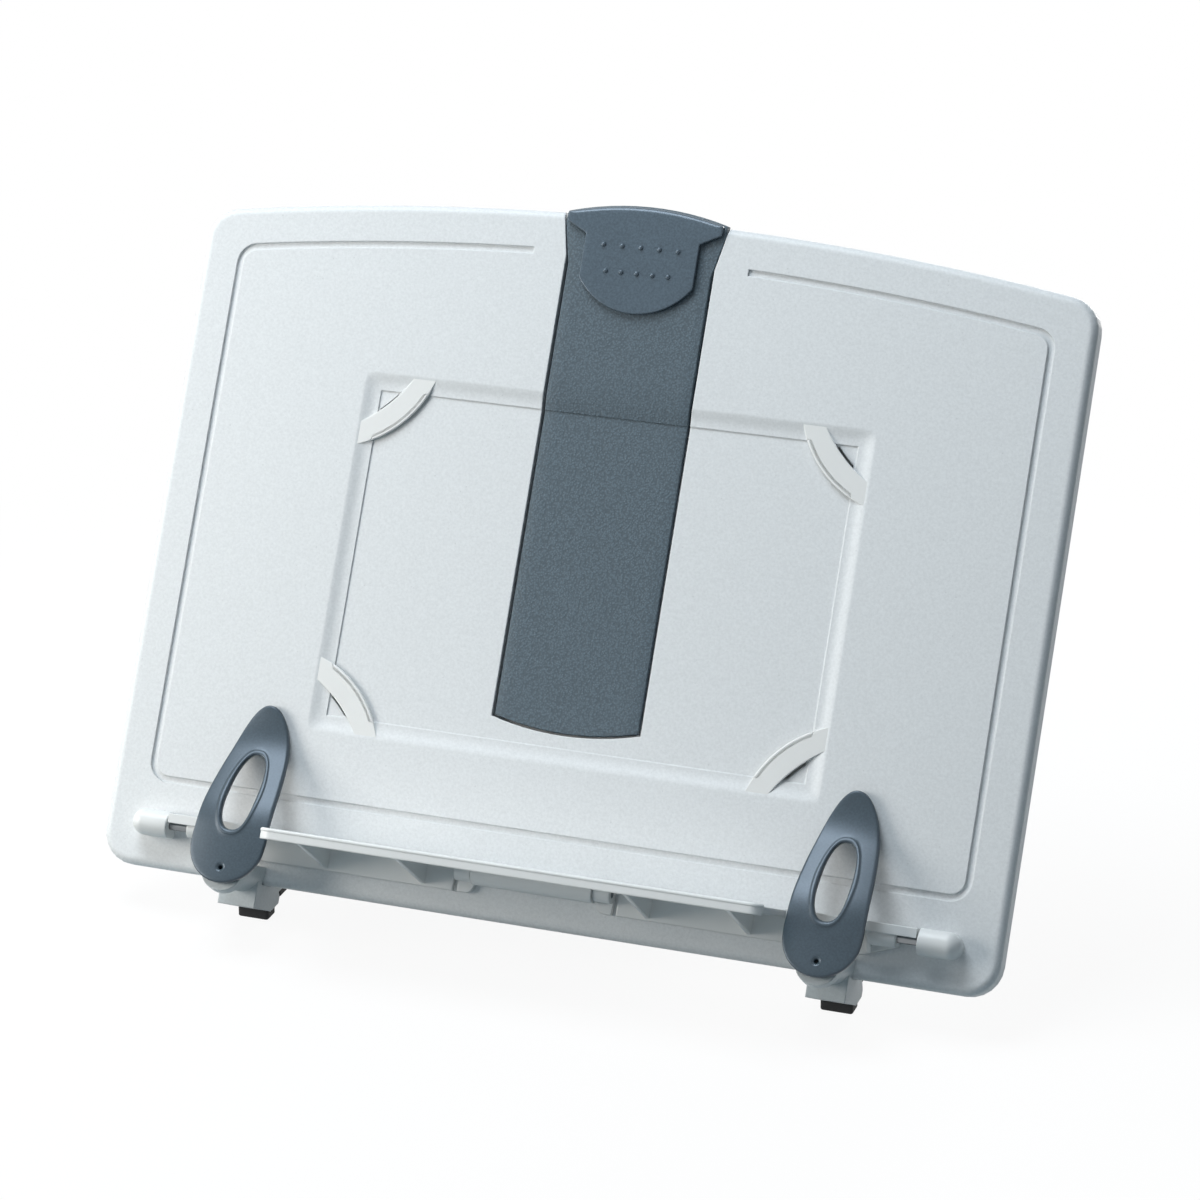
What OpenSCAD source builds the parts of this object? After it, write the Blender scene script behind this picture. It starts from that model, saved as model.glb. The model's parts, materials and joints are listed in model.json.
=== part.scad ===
// Folding book stand: a leaning board with a pull-up extension, a card recess under four straps,
// a fold-up ledge, two swivelling page clips on foot brackets, and a prop leg behind.
// Shapes on the board are drawn flat: x to the right, y up the board, z out of its face.
// on_board() then leans them back. All lengths are in millimetres.

/* [Board] */
// Width of the board
board_w = 340; // [320:1:380]
// Height of the board at the middle of its curved top edge
board_h = 259.5; // [250:0.5:280]
// Drop of the top edge from its middle to its sides
crown = 13.5; // [8:0.5:18]
// Overall thickness of the board
board_t = 9; // [8.6:0.1:11]
// Corner radius of the board
corner_r = 12; // [8:0.5:18]
// Rounding of the front edge
edge_r = 3; // [1:0.1:4]
// Angle that the board leans back from upright
lean = 28.9; // [22:0.1:34]
// Thickness of the front shell's face
face_t = 4.2; // [4.1:0.1:5]
// Width of the front shell's rim
rim_w = 3; // [2:0.1:5]
// Thickness of the back cover
back_t = 2.2; // [1.6:0.1:2.4]

/* [Line groove] */
// Distance of the groove's middle from the board's side and top edges
groove_inset = 15.2; // [11:0.1:20]
// Height of the groove's lower run above the board's bottom edge
groove_bottom = 32.8; // [28:0.1:40]
// Width of the groove
groove_w = 2.4; // [1.5:0.1:4]
// Depth of the groove
groove_d = 0.8; // [0.4:0.1:1.5]
// Corner radius of the groove
groove_r = 6.5; // [4:0.5:10]
// Half length of the break in the groove's top run
groove_break = 41; // [36:1:60]

/* [Card recess] */
// Width of the recess floor
recess_w = 182.2; // [150:0.1:200]
// Height of the recess floor
recess_h = 121.2; // [100:0.1:130]
// Height of the recess floor above the board's bottom edge
recess_bottom = 64.6; // [60:0.1:66]
// Width of the sloping border of the recess
recess_bevel = 5.5; // [3:0.1:8]
// Depth of the recess
recess_d = 1.6; // [1:0.1:1.8]
// Height of the upright step round the recess floor
recess_step = 0.4; // [0.2:0.05:0.6]
// Thickness of a corner strap
strap_t = 0.9; // [0.6:0.05:1]
// Reach of a strap's inner edge along the recess border from the corner
strap_reach = 26.4; // [22:0.1:32]
// Reach of a strap's outer edge along the recess border from the corner
strap_start = 17.9; // [12:0.1:20]
// Bulge of a strap's inner edge
strap_bulge = 4.6; // [2:0.1:6]
// Bulge of a strap's outer edge
strap_hollow = 1.5; // [1:0.1:3]
// Width that the opening under a strap shows beyond the strap's outer edge
window_show = 0.8; // [0.4:0.1:2]
// Distance of that opening from the strap's inner edge and from the recess border
window_edge = 0.8; // [0.4:0.1:2]

/* [Extension] */
// Width of the extension strip
strip_w = 55; // [48:0.5:60]
// Height of the strip's lower end above the board's bottom edge
strip_bottom = 70.2; // [68:0.1:78]
// Bow of the strip's lower end
strip_bow = 3.6; // [2:0.1:5]
// Height of the strip's top above the board's top edge
strip_rise = 4.6; // [3:0.1:7]
// Bow of the strip's top end
head_bow = 4.2; // [2:0.1:6]
// Extra width on each side of the flared head
flare = 3.2; // [1.5:0.1:4]
// Depth of the flared head below the board's top edge
flare_depth = 0.5; // [0.2:0.1:4]
// Length of the taper below the flared head
flare_taper = 16; // [10:0.5:18]
// Width of the guide flange on each side of the strip
flange_w = 3.5; // [2:0.1:5]
// Thickness of the guide flange
flange_t = 1.5; // [1.2:0.1:1.6]
// Height of the guide flange's upper end above the board's bottom edge
flange_top = 150; // [130:1:155]
// Depth of the strip's face below the board's face
strip_sink = 0.15; // [0.05:0.05:0.4]
// Travel of the extension
travel = 88; // [60:1:90]
// Clearance beside the guide flange
slide_gap = 0.4; // [0.2:0.05:0.5]
// Clearance beside the strip in its slot
slot_gap = 0.9; // [0.4:0.05:1.2]
// Clearance in front of and behind the guide flange
flange_gap = 0.2; // [0.1:0.05:0.3]
// Width of the ledge around the slot that carries the channel cover
cover_seat = 3.6; // [2:0.1:5]
// Thickness of the channel cover
cover_t = 1; // [0.8:0.1:1.2]
// Width of the friction spring
spring_w = 10; // [6:0.5:14]
// Length of the friction spring
spring_l = 40; // [30:1:50]
// Thickness of the friction spring
spring_t = 0.4; // [0.3:0.05:0.5]
// Depth of the spring's pocket in the guide flange
spring_pocket = 1; // [0.8:0.05:1.2]

/* [Grip] */
// Half width of the grip's straight part
grip_half = 21.7; // [18:0.1:24]
// Height of the grip above the strip
grip_t = 1.8; // [1:0.1:3]
// Depth of the grip's lowest point below the board's top edge
grip_drop = 35.8; // [32:0.1:42]
// Bow of the grip's lower edge
grip_bow = 11.4; // [8:0.1:14]
// Depth of the grip's shoulder below the board's top edge
grip_shoulder = 8; // [6:0.1:10]
// Radius of a grip bump
bump_r = 0.95; // [0.6:0.05:1.3]
// Bumps in each row
bumps = 5; // [3:1:5]
// Pitch of the upper row of bumps
upper_pitch = 7.1; // [5:0.1:8]
// Pitch of the lower row of bumps
lower_pitch = 5.95; // [4:0.05:7]
// Depth of the upper row below the board's top edge
upper_row = 11.5; // [10:0.1:14]
// Depth of the lower row below the board's top edge
lower_row = 21.1; // [18:0.1:24]

/* [Ledge] */
// Gap between the ledge's wide part and a page clip
clip_gap = 3.5; // [1:0.1:6]
// Distance of the ledge's front edge from the board's face
ledge_d = 39.6; // [32:0.1:44]
// Height of the ledge's top face above the board's bottom edge
ledge_v = 19.6; // [19:0.1:20.2]
// Thickness of the ledge's plate
ledge_t = 2.4; // [2:0.1:3]
// Height of the front lip above the plate
lip_up = 0.6; // [0.3:0.1:0.9]
// Depth of the front lip below the plate
lip_down = 0.8; // [0.4:0.1:1.5]
// Thickness of the front lip
lip_t = 2.8; // [2:0.1:4]
// Angle at which the ledge slopes down towards its lip
ledge_tilt = 1.4; // [0:0.1:2.4]
// Corner radius of the ledge's front corners
lip_r = 5; // [3:0.5:8]
// Distance of the end bars' front edge from the board's face
bar_d = 9; // [8:0.1:10]
// Rise of the ledge's back chamfer above its hinge axis
chamfer_rise = 1.3; // [0.8:0.1:1.6]
// Height of the stop flange's lower edge above the board's bottom edge
flange_v = 8.5; // [8.2:0.1:10]
// Thickness of the stop flange
stop_t = 1.8; // [1.4:0.1:2.2]
// Distance of the stop flange's inner end from the middle
flange_in = 31; // [30.5:0.1:36]
// Distance of the stop flange's outer end from the board's sides
flange_out = 36; // [34:0.5:38]
// Length of the stop flange's tapered end
taper_l = 12.5; // [8:0.5:16]
// Rise of the stop flange's tapered end
taper_rise = 4.4; // [2:0.1:5]
// Distances of the gussets from the middle
gusset_u = [42.6, 80.2];
// Thickness of a gusset
gusset_t = 1.6; // [1.2:0.1:2.4]
// Distance of the end ribs from the stop flange's outer ends
rib_inset = 10; // [9:0.5:12]

/* [Ledge hinge] */
// Height of the hinge axis above the board's bottom edge
hinge_v = 16.1; // [15.8:0.1:16.4]
// Distance of the hinge axis from the board's face
hinge_z = 4.8; // [4.7:0.1:5.2]
// Radius of a hinge pin
pin_r = 1.6; // [1.2:0.05:1.8]
// Running clearance around a hinge pin
pin_gap = 0.06; // [0.03:0.01:0.08]
// Fixing clearance around a hinge pin
pin_fix = 0.02; // [0.01:0.01:0.03]
// Radius of the end hoods
hood_r = 4.8; // [4.4:0.1:5]
// Distance of the end hoods' inner faces from the board's sides
hood_inset = 28.2; // [27:0.1:30]
// Length of the end hoods with their domes
hood_l = 14.8; // [12:0.1:17]
// Width of the foot that joins an end hood to the board
hood_foot = 6.8; // [5:0.1:8]
// Depth of the pin hole in an end hood
hood_bore = 7; // [5:0.1:8]
// Half length of the middle hood
mid_half = 22.8; // [18:0.1:23]
// Radius of the middle hood
mid_r = 4.4; // [4:0.1:4.6]
// Width of the foot that joins the middle hood to the board
mid_foot = 7; // [5:0.1:7.6]
// Length of a hinge knuckle on the ledge
knuckle_l = 6.2; // [5:0.1:6.6]
// Radius of a hinge knuckle
knuckle_r = 3.6; // [3:0.1:4]
// Clearance between the ledge and the fixed parts beside it
side_gap = 0.4; // [0.3:0.05:0.6]

/* [Page clips] */
// Distance of the clip pivots from the board's sides
clip_inset = 58.4; // [54:0.1:62]
// Height of a clip's pivot above the board's bottom edge
clip_v = 3.6; // [3:0.1:4.5]
// Distance of a clip's front face from the board's face at its pivot
clip_z = 24.9; // [24.5:0.1:27]
// Thickness of a clip
clip_t = 2.4; // [1.8:0.1:2.6]
// Half width of a clip
clip_half = 14.1; // [12:0.1:14.6]
// Length of a clip's flat base above its pivot
clip_base_l = 15; // [12:0.1:17]
// Length of the bend above a clip's base
clip_bend_l = 13; // [9:0.1:15]
// Length of a clip's leaning middle
clip_lean_l = 16.9; // [14:0.1:17.5]
// Length of the bend below a clip's tip
clip_turn_l = 11.6; // [10:0.1:13]
// Length of a clip's flat tip
clip_tip_l = 9.7; // [8:0.1:11]
// Length of a clip's straight sides
clip_straight = 5.3; // [3:0.1:9]
// Depth of a clip's lower edge below its pivot
clip_drop = 5.7; // [5:0.1:7]
// Angle of a clip's base from the board
clip_base = 11.5; // [9:0.5:12]
// Angle of a clip's middle from the board
clip_lean = 32; // [27:0.5:32.5]
// Angle of a clip's tip from the board
clip_tip = 6.5; // [2:0.5:8]
// Half width of a clip's finger hole
finger_half = 6.6; // [5.5:0.1:8]
// Height of a clip's finger hole
finger_h = 29.2; // [22:0.1:32]
// Height of the finger hole's middle above the pivot
finger_v = 28.2; // [27:0.1:31]
// Share by which the finger hole is wider below its middle and narrower above it
finger_egg = 0.08; // [0:0.01:0.15]
// Radius of a pivot rivet's shank
rivet_r = 1.3; // [1.2:0.05:1.5]
// Radius of a pivot rivet's head
rivet_head = 1.8; // [1.7:0.05:2.6]
// Thickness of a pivot rivet's head
rivet_head_t = 0.8; // [0.6:0.05:1]
// Radius of the hole through a pivot rivet
rivet_hole = 0.75; // [0.5:0.05:0.9]
// Clearance around a rivet's head
head_gap = 0.3; // [0.3:0.05:0.5]
// Outer radius of a friction washer
washer_r = 5; // [4:0.1:5.4]
// Thickness of a friction washer
washer_t = 0.4; // [0.3:0.05:0.6]
// Clearance on each side of a friction washer
washer_gap = 0.05; // [0.02:0.01:0.1]

/* [Foot brackets] */
// Width of a bracket
bracket_w = 14.4; // [12:0.1:16]
// Radius of the bracket's round seat behind the clip
seat_r = 8; // [6.5:0.1:8.8]
// Thickness of that seat
seat_t = 4; // [3:0.1:5]
// Height of the bracket's arm above the board's bottom edge
arm_top = 6.4; // [5:0.1:6.6]
// Radius of the arm's round lower side
arm_r = 7.8; // [7:0.1:8.4]
// Depth of the arm's lower side below the board's bottom edge
arm_drop = 3.6; // [2:0.1:5]
// Depth of the bracket's foot block below the board's bottom edge
block_drop = 9; // [7:0.1:11]
// Distance of the foot block's front from the board's face
block_front = 4; // [3:0.1:6]
// Reach of the foot block behind the board's back
block_reach = 10; // [8:0.1:13]
// Height of the bracket's back plate above the board's bottom edge
plate_h = 15; // [14:0.5:20]
// Thickness of the bracket's back plate
plate_t = 2.5; // [2:0.1:3.5]
// Height of the bracket screws above the board's bottom edge
bracket_screw_v = 9; // [8:0.5:10]
// Spacing of the two screws of a bracket
bracket_screw_gap = 8; // [7:0.5:9]
// Height of the board's lower front edge above the desk
board_lift = 18; // [17:0.1:20]
// Thickness of the rubber feet
foot_t = 4; // [3:0.1:5]
// Reach of a bracket's toe behind the board's lower front edge
toe_reach = 35; // [34:0.5:46]
// Thickness of a bracket's toe
toe_t = 6; // [4:0.1:8]
// Width of a bracket's toe
toe_w = 7; // [6:0.1:12]
// Length of the rear rubber feet
heel_l = 8; // [6:0.1:12]
// Width of the rear rubber feet
heel_w = 5; // [4:0.1:6]
// Inset of the rear rubber feet from the toe's end
heel_inset = 1; // [0.5:0.1:2]
// Width of the rubber feet
foot_w = 12; // [8:0.1:13]

/* [Prop leg] */
// Height of the leg's hinge above the board's bottom edge
leg_v = 165; // [150:1:180]
// Distance of the leg's hinge axis from the board's back
leg_z = 5.5; // [5:0.1:7]
// Angle between the board and the open leg
leg_open = 47; // [44:0.5:52]
// Thickness of the leg
leg_t = 5; // [4:0.1:6]
// Width of the leg at its hinge
leg_top_w = 146; // [144:1:170]
// Width of the leg at its foot
leg_foot_w = 120; // [90:1:140]
// Depth of the panel sunk in the leg's back
leg_sink = 1.5; // [0.8:0.1:2]
// Width of the leg's border around that panel
leg_border = 10; // [7:0.5:14]
// Thickness of the rubber pads under the leg
pad_t = 3; // [2:0.1:4]
// Width of a rubber pad
pad_w = 24; // [16:1:30]
// Distance of the hinge blocks' middles from the board's middle
block_u = 56; // [54:0.5:57]
// Width of a hinge block
block_w = 12; // [10:0.5:14]
// Width of the leg's ears
ear_w = 7.5; // [6:0.1:9]
// Radius of the leg's ears
ear_r = 4.4; // [4:0.1:4.6]
// Clearance between an ear and its block
ear_gap = 0.3; // [0.2:0.05:0.5]
// Radius of the leg's hinge pins
leg_pin_r = 2; // [1.5:0.1:2.4]
// Distance of a hinge block's screws from the leg's axis
leg_screw_v = 10; // [9:0.1:12]
// Width of a hinge block's base beyond its screw heads
base_edge = 1; // [0.6:0.1:2]
// Clearance at the open leg's stop
stop_gap = 0.2; // [0.1:0.05:0.4]

/* [Fasteners] */
// Radius of a screw's shank
screw_r = 1.3; // [1:0.05:1.6]
// Radius of a screw's head
screw_head_r = 2.6; // [2:0.1:3]
// Thickness of a screw's head
screw_head_t = 1.4; // [1:0.1:2]
// Clearance of a screw in its hole
screw_gap = 0.1; // [0.05:0.01:0.2]
// Depth that a screw reaches into the front shell
screw_grip = 2; // [1.4:0.1:2.2]
// Radius of a screw boss
boss_r = 4.5; // [4:0.1:6]
// Inset of the cover screws from the board's edges
screw_inset = 11; // [10:0.5:14]
// Distance of the inner cover screws from the middle
screw_u = 65; // [55:1:90]

/* [Hidden] */
$fn = 48;

shell_white = [0.87, 0.89, 0.90];
strap_white = [0.90, 0.90, 0.89];
slate = [0.36, 0.41, 0.45];
clip_slate = [0.38, 0.43, 0.49];
light_grey = [0.72, 0.75, 0.77];
rubber_black = [0.05, 0.05, 0.05];
steel = [0.70, 0.71, 0.73];

// Overlap that keeps cutters clear of the faces that they cut
over = 1;
// Thickness of the slices that a rounded edge is lofted through
slice = 0.05;
// Steps round the front edge
edge_steps = 6;

half_w = board_w / 2;
top_r = (half_w * half_w + crown * crown) / (2 * crown);
shell_t = board_t - back_t;
strip_half = strip_w / 2;
head_half = strip_half + flare;
flange_half = strip_half + flange_w;
strip_top = board_h + strip_rise;
cover_front = shell_t - cover_t;
flange_back = cover_front - flange_gap;
flange_front = flange_back - flange_t;
slot_front = flange_front - flange_gap;
flange_low = strip_bottom - flange_w;
// A strip's level under the recess border follows the recess
step_low = recess_bottom + recess_h;
step_high = step_low + recess_bevel;
// A strap's inner and outer edges are arcs about points on the diagonal of its corner
strap_in_r = bow_radius(strap_reach / sqrt(2), strap_bulge);
strap_out_r = bow_radius(strap_start / sqrt(2), strap_hollow);
strap_in_c = (strap_in_r - strap_bulge) / sqrt(2) - strap_reach / 2;
strap_out_c = (strap_out_r - strap_hollow) / sqrt(2) - strap_start / 2;
function strap_corner(sx, sy) =
    [sx * (recess_w / 2 + recess_bevel), sy > 0 ? step_high : recess_bottom - recess_bevel];

clip_u = half_w - clip_inset;
ledge_w = 2 * (clip_u - clip_half - clip_gap);
hood_u = half_w - hood_inset;
bar_end = hood_u - side_gap;
flange_end = half_w - flange_out;
rib_u = flange_end - rib_inset;
plate_v = ledge_v - ledge_t;
leg_axis_z = -board_t - leg_z;
leg_drop = leg_open - lean;

// Height and depth of a point on the board, seen from the side, before the stand is centred
function side_y(v, z) = v * sin(lean) - z * cos(lean);
function side_z(v, z) = v * cos(lean) + z * sin(lean) + board_lift;

// A point of the ledge, seen from the side, turned about the hinge to the ledge's slope
function tilted(v, z) =
    let (dv = v - hinge_v, dz = z - hinge_z)
    [hinge_v + dv * cos(ledge_tilt) - dz * sin(ledge_tilt), hinge_z + dz * cos(ledge_tilt) + dv * sin(ledge_tilt)];

leg_axis_y = side_y(leg_v, leg_axis_z);
leg_axis_h = side_z(leg_v, leg_axis_z);
leg_run = (leg_axis_h + leg_t / 2 * sin(leg_drop)) / cos(leg_drop);
front_edge = tilted(plate_v - lip_down, ledge_d);
front_y = side_y(front_edge[0], front_edge[1]);
back_y = leg_axis_y + leg_run * sin(leg_drop) + leg_t / 2 * cos(leg_drop);
centre_y = -(front_y + back_y) / 2;
// The heel's level underside runs from where the block's lower side meets it to where its back does
block_back = -board_t - block_reach;
foot_front_z = (foot_t - board_lift + block_drop * cos(lean)) / sin(lean);
foot_back_v = (foot_t - board_lift - block_back * sin(lean)) / cos(lean);
foot_y0 = side_y(-block_drop, foot_front_z) + centre_y;
foot_y1 = side_y(foot_back_v, block_back) + centre_y;

screw_top = board_h - screw_inset;
cover_screw_at = [
    for (sx = [-1, 1]) [sx * (half_w - screw_inset), screw_inset],
    for (sx = [-1, 1]) [sx * (half_w - screw_inset), screw_top - crown],
    for (sx = [-1, 1]) [sx * screw_u, screw_inset],
    for (sx = [-1, 1]) [sx * screw_u, screw_top - screw_u * screw_u / (2 * top_r)]
];
bracket_screw_at = [
    for (sx = [-1, 1], k = [-1, 1]) [sx * clip_u + k * bracket_screw_gap / 2, bracket_screw_v]
];
leg_screw_at = [for (sx = [-1, 1], k = [-1, 1]) [sx * block_u, leg_v + k * leg_screw_v]];

// Points of an arc from angle a0 to a1
function arc(c, r, a0, a1, n) = [for (i = [0:n]) c + r * [cos(a0 + (a1 - a0) * i / n), sin(a0 + (a1 - a0) * i / n)]];
// Inner points of an arc, without its ends
function arc_inner(c, r, a0, a1, n) =
    [for (i = [1:n - 1]) c + r * [cos(a0 + (a1 - a0) * i / n), sin(a0 + (a1 - a0) * i / n)]];
// Radius of an arc from its half chord and its bow
function bow_radius(half, bow) = (half * half + bow * bow) / (2 * bow);

// Outline with straight sides, a straight bottom, round corners and a curved top
function panel(half, bottom, apex, r_top, r) =
    let (xc = half - r, rise = sqrt((r_top - r) * (r_top - r) - xc * xc), cy = apex - r_top, a = atan2(rise, xc))
    concat(
        arc([-xc, bottom + r], r, 180, 270, 6),
        arc([xc, bottom + r], r, 270, 360, 6),
        arc([xc, cy + rise], r, 0, a, 6),
        arc_inner([0, cy], r_top, a, 180 - a, 20),
        arc([-xc, cy + rise], r, 180 - a, 180, 6)
    );
function board_outline(inset) = panel(half_w - inset, inset, board_h - inset, top_r - inset, corner_r - inset);
function groove_outline(inset) =
    let (side = groove_inset + inset)
    panel(half_w - side, groove_bottom + inset, board_h - side, top_r - side, groove_r - inset);

// Outline of the strip, grown by a clearance, with its top at a given height
function strip_outline(grow, top, top_bow) =
    let (
        half = strip_half + grow,
        wide = head_half + grow,
        r = bow_radius(strip_half, strip_bow) + grow,
        a = asin(half / r),
        low = strip_bottom - grow + r,
        flare_v = board_h - flare_depth,
        head_r = bow_radius(wide, top_bow),
        b = asin(wide / head_r)
    )
    concat(
        arc([0, low], r, 270 - a, 270 + a, 12),
        [[half, flare_v - flare_taper], [wide, flare_v]],
        arc([0, top - head_r], head_r, 90 - b, 90 + b, 12),
        [[-wide, flare_v], [-half, flare_v - flare_taper]]
    );

// A clip's front face, seen from the side, as points [v, z] that climb from its pivot in equal steps
clip_steps = 24;
clip_len = clip_base_l + clip_bend_l + clip_lean_l + clip_turn_l + clip_tip_l;
clip_step = clip_len / clip_steps;
bend_s = clip_base_l + clip_bend_l;
turn_s = bend_s + clip_lean_l;
// Angle of a clip's front face from the board at a distance along it from the pivot
function clip_angle(s) =
    s < clip_base_l ? clip_base :
    s < bend_s ? clip_base + (clip_lean - clip_base) * (s - clip_base_l) / clip_bend_l :
    s < turn_s ? clip_lean :
    s < turn_s + clip_turn_l ? clip_lean + (clip_tip - clip_lean) * (s - turn_s) / clip_turn_l : clip_tip;
function clip_move(i) = let (a = clip_angle((i - 0.5) * clip_step)) clip_step * [cos(a), -sin(a)];
clip_up = [
    for (i = 0, p = [clip_v, clip_z]; i <= clip_steps; i = i + 1, p = p + clip_move(i)) p
];
seat_depth = clip_t + washer_t + 2 * washer_gap;
hinge_base = leg_screw_v + screw_head_r + base_edge;
clip_normal = [sin(clip_base), cos(clip_base)];
clip_along = [cos(clip_base), -sin(clip_base)];
clip_foot = [clip_v, clip_z] - (clip_drop + over) / cos(clip_base) * clip_along;
function clip_back(i) =
    let (a = clip_angle(i * clip_step)) clip_up[i] - clip_t * [sin(a), cos(a)];
clip_profile = concat(
    [clip_foot], clip_up,
    [for (i = [clip_steps:-1:0]) clip_back(i)],
    [clip_foot - clip_t * clip_normal]
);
// Leaf outline of a clip: a round base and a long elliptical tip
clip_base_v = clip_v - clip_drop + clip_half;
clip_mid_v = clip_base_v + clip_straight;
clip_tip_v = clip_up[clip_steps][0] - slice;
clip_leaf = concat(
    arc([0, clip_base_v], clip_half, 180, 360, 24),
    [for (i = [0:24]) [clip_half * cos(i * 7.5), clip_mid_v + (clip_tip_v - clip_mid_v) * sin(i * 7.5)]]
);
finger_oval = [
    for (i = [0:39]) [
        finger_half * cos(i * 9) * (1 - finger_egg * sin(i * 9)), clip_v + finger_v + finger_h / 2 * sin(i * 9)
    ]
];

// Lean a shape back with the board and set it above the desk
module on_board() {
    translate([0, centre_y, board_lift]) rotate([90 - lean, 0, 0]) children();
}
// Extrude a side view [v, z] from u0 to u1 across the board
module across(u0, u1) {
    translate([u0, 0, 0]) rotate([90, 0, 90]) linear_extrude(u1 - u0) children();
}
// Extrude a plan view [u, z] from v0 to v1 up the board
module upward(v0, v1) {
    translate([0, v1, 0]) rotate([90, 0, 0]) linear_extrude(v1 - v0) children();
}
// A rod across the board
module rod(u0, u1, v, z, r) {
    translate([u0, v, z]) rotate([0, 90, 0]) cylinder(h = u1 - u0, r = r);
}
// A shape for one side, or its mirror image for the other
module on_side(side) {
    mirror([side < 0 ? 1 : 0, 0, 0]) children();
}
// Frame of a clip's pivot: z along the pivot, out of the clip's front face
module at_pivot() {
    translate([clip_u, clip_v, clip_z]) rotate([-clip_base, 0, 0]) children();
}
// Frame of the open leg: y up the leg, z towards the board's face
module at_leg() {
    translate([0, leg_v, leg_axis_z]) rotate([leg_open, 0, 0]) children();
}
// Everything below a height above the desk
module below(h) {
    translate([-board_w, -board_w, h - board_w]) cube([2 * board_w, 2 * board_w, board_w]);
}
// A pan-head screw, head up
module screw(reach) {
    translate([0, 0, -reach]) cylinder(h = reach, r = screw_r);
    cylinder(h = screw_head_t, r = screw_head_r);
}
// Holes for screws that come in from behind
module screw_holes(places, from, to) {
    for (p = places) translate([p[0], p[1], from]) cylinder(h = to - from, r = screw_r + screw_gap);
}

// Section of the card recess between the edges of its floor: sloping borders, upright steps and a flat floor
function recess_section(low, high, front) = [
    [low - recess_bevel, front], [low - recess_bevel, 0], [low, recess_step - recess_d], [low, -recess_d],
    [high, -recess_d], [high, recess_step - recess_d], [high + recess_bevel, 0], [high + recess_bevel, front]
];
// The sloping hollow of the card recess, open towards the front
module recess_hollow(front) {
    intersection() {
        across(-half_w, half_w) polygon(recess_section(recess_bottom, step_low, front));
        upward(0, board_h) polygon(recess_section(-recess_w / 2, recess_w / 2, front));
    }
}
module line_groove() {
    translate([0, 0, -groove_d]) linear_extrude(groove_d + over) difference() {
        polygon(groove_outline(-groove_w / 2));
        polygon(groove_outline(groove_w / 2));
        translate([-groove_break, board_h / 2]) square([2 * groove_break, board_h]);
    }
}
// Slot for the strip, groove for its flange and seat for the channel cover
module strip_slot() {
    translate([0, 0, -shell_t - over]) linear_extrude(shell_t + 2 * over)
        polygon(strip_outline(slot_gap, strip_top + 2 * strip_rise, head_bow));
    translate([-flange_half - slide_gap, flange_low - slide_gap, -shell_t - over])
        cube([2 * (flange_half + slide_gap), flange_top + travel + 2 * slide_gap - flange_low, shell_t + over - slot_front]);
    channel_seat(slide_gap, shell_t + over);
}
module channel_seat(grow, depth) {
    half = flange_half + cover_seat + grow;
    low = flange_low - cover_seat - grow;
    high = flange_top + travel + cover_seat + grow;
    translate([-half, low, -depth]) cube([2 * half, high - low, depth - cover_front]);
}
// Openings through the recess floor under the straps
module strap_windows() {
    for (sx = [-1, 1], sy = [-1, 1]) intersection() {
        translate([window_edge - recess_w / 2, recess_bottom + window_edge, -shell_t])
            cube([recess_w - 2 * window_edge, recess_h - 2 * window_edge, shell_t]);
        translate([strap_corner(sx, sy)[0], strap_corner(sx, sy)[1], -shell_t]) linear_extrude(shell_t) difference() {
            translate([sx, sy] * strap_in_c) circle(strap_in_r - window_edge, $fn = 128);
            translate([sx, sy] * strap_out_c) circle(strap_out_r - window_show, $fn = 128);
        }
    }
}
// Hollow behind the face, with the walls and bosses that stand in it
module shell_hollow() {
    channel_half = flange_half + 2 * cover_seat;
    bracket_half = bracket_w / 2 + rim_w;
    translate([0, 0, -shell_t - over]) linear_extrude(shell_t + over - face_t) difference() {
        polygon(board_outline(rim_w));
        translate([-channel_half, 0]) square([2 * channel_half, 2 * board_h]);
        for (p = concat(cover_screw_at, leg_screw_at)) translate(p) circle(boss_r);
        for (sx = [-1, 1]) translate([sx * clip_u - bracket_half, 0]) square([2 * bracket_half, plate_h]);
    }
}
module front_shell() {
    color(shell_white) on_board() difference() {
        hull() {
            translate([0, 0, -shell_t]) linear_extrude(slice) polygon(board_outline(0));
            for (k = [0:edge_steps])
                translate([0, 0, -edge_r + edge_r * sin(90 * k / edge_steps) - slice]) linear_extrude(slice)
                    polygon(board_outline(edge_r * (1 - cos(90 * k / edge_steps))));
        }
        recess_hollow(over);
        line_groove();
        strap_windows();
        strip_slot();
        shell_hollow();
        screw_holes(concat(cover_screw_at, leg_screw_at, bracket_screw_at), -shell_t - over, -shell_t + screw_grip);
    }
}
module back_cover() {
    color(shell_white) on_board() difference() {
        translate([0, 0, -board_t]) linear_extrude(back_t) polygon(board_outline(0));
        screw_holes(concat(cover_screw_at, leg_screw_at, bracket_screw_at), -board_t - over, -shell_t + over);
    }
}
module cover_screws() {
    color(steel) on_board() for (p = cover_screw_at)
        translate([p[0], p[1], -board_t]) rotate([180, 0, 0]) screw(back_t + screw_grip - screw_gap);
}
module channel_cover() {
    color(shell_white) on_board() channel_seat(0, shell_t);
}

// Strap across the recess corner on the side sx and the end sy
module card_strap(sx, sy) {
    corner = strap_corner(sx, sy);
    color(strap_white) on_board() intersection() {
        recess_hollow(over);
        translate([corner[0], corner[1], -strap_t]) linear_extrude(strap_t) difference() {
            intersection() {
                translate([sx, sy] * strap_in_c) circle(strap_in_r, $fn = 128);
                translate([sx < 0 ? 0 : -strap_reach - over, sy < 0 ? 0 : -strap_reach - over])
                    square(strap_reach + over);
            }
            translate([sx, sy] * strap_out_c) circle(strap_out_r, $fn = 128);
        }
    }
}
module card_strap_top_left() { card_strap(-1, 1); }
module card_strap_top_right() { card_strap(1, 1); }
module card_strap_bottom_left() { card_strap(-1, -1); }
module card_strap_bottom_right() { card_strap(1, -1); }

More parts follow.
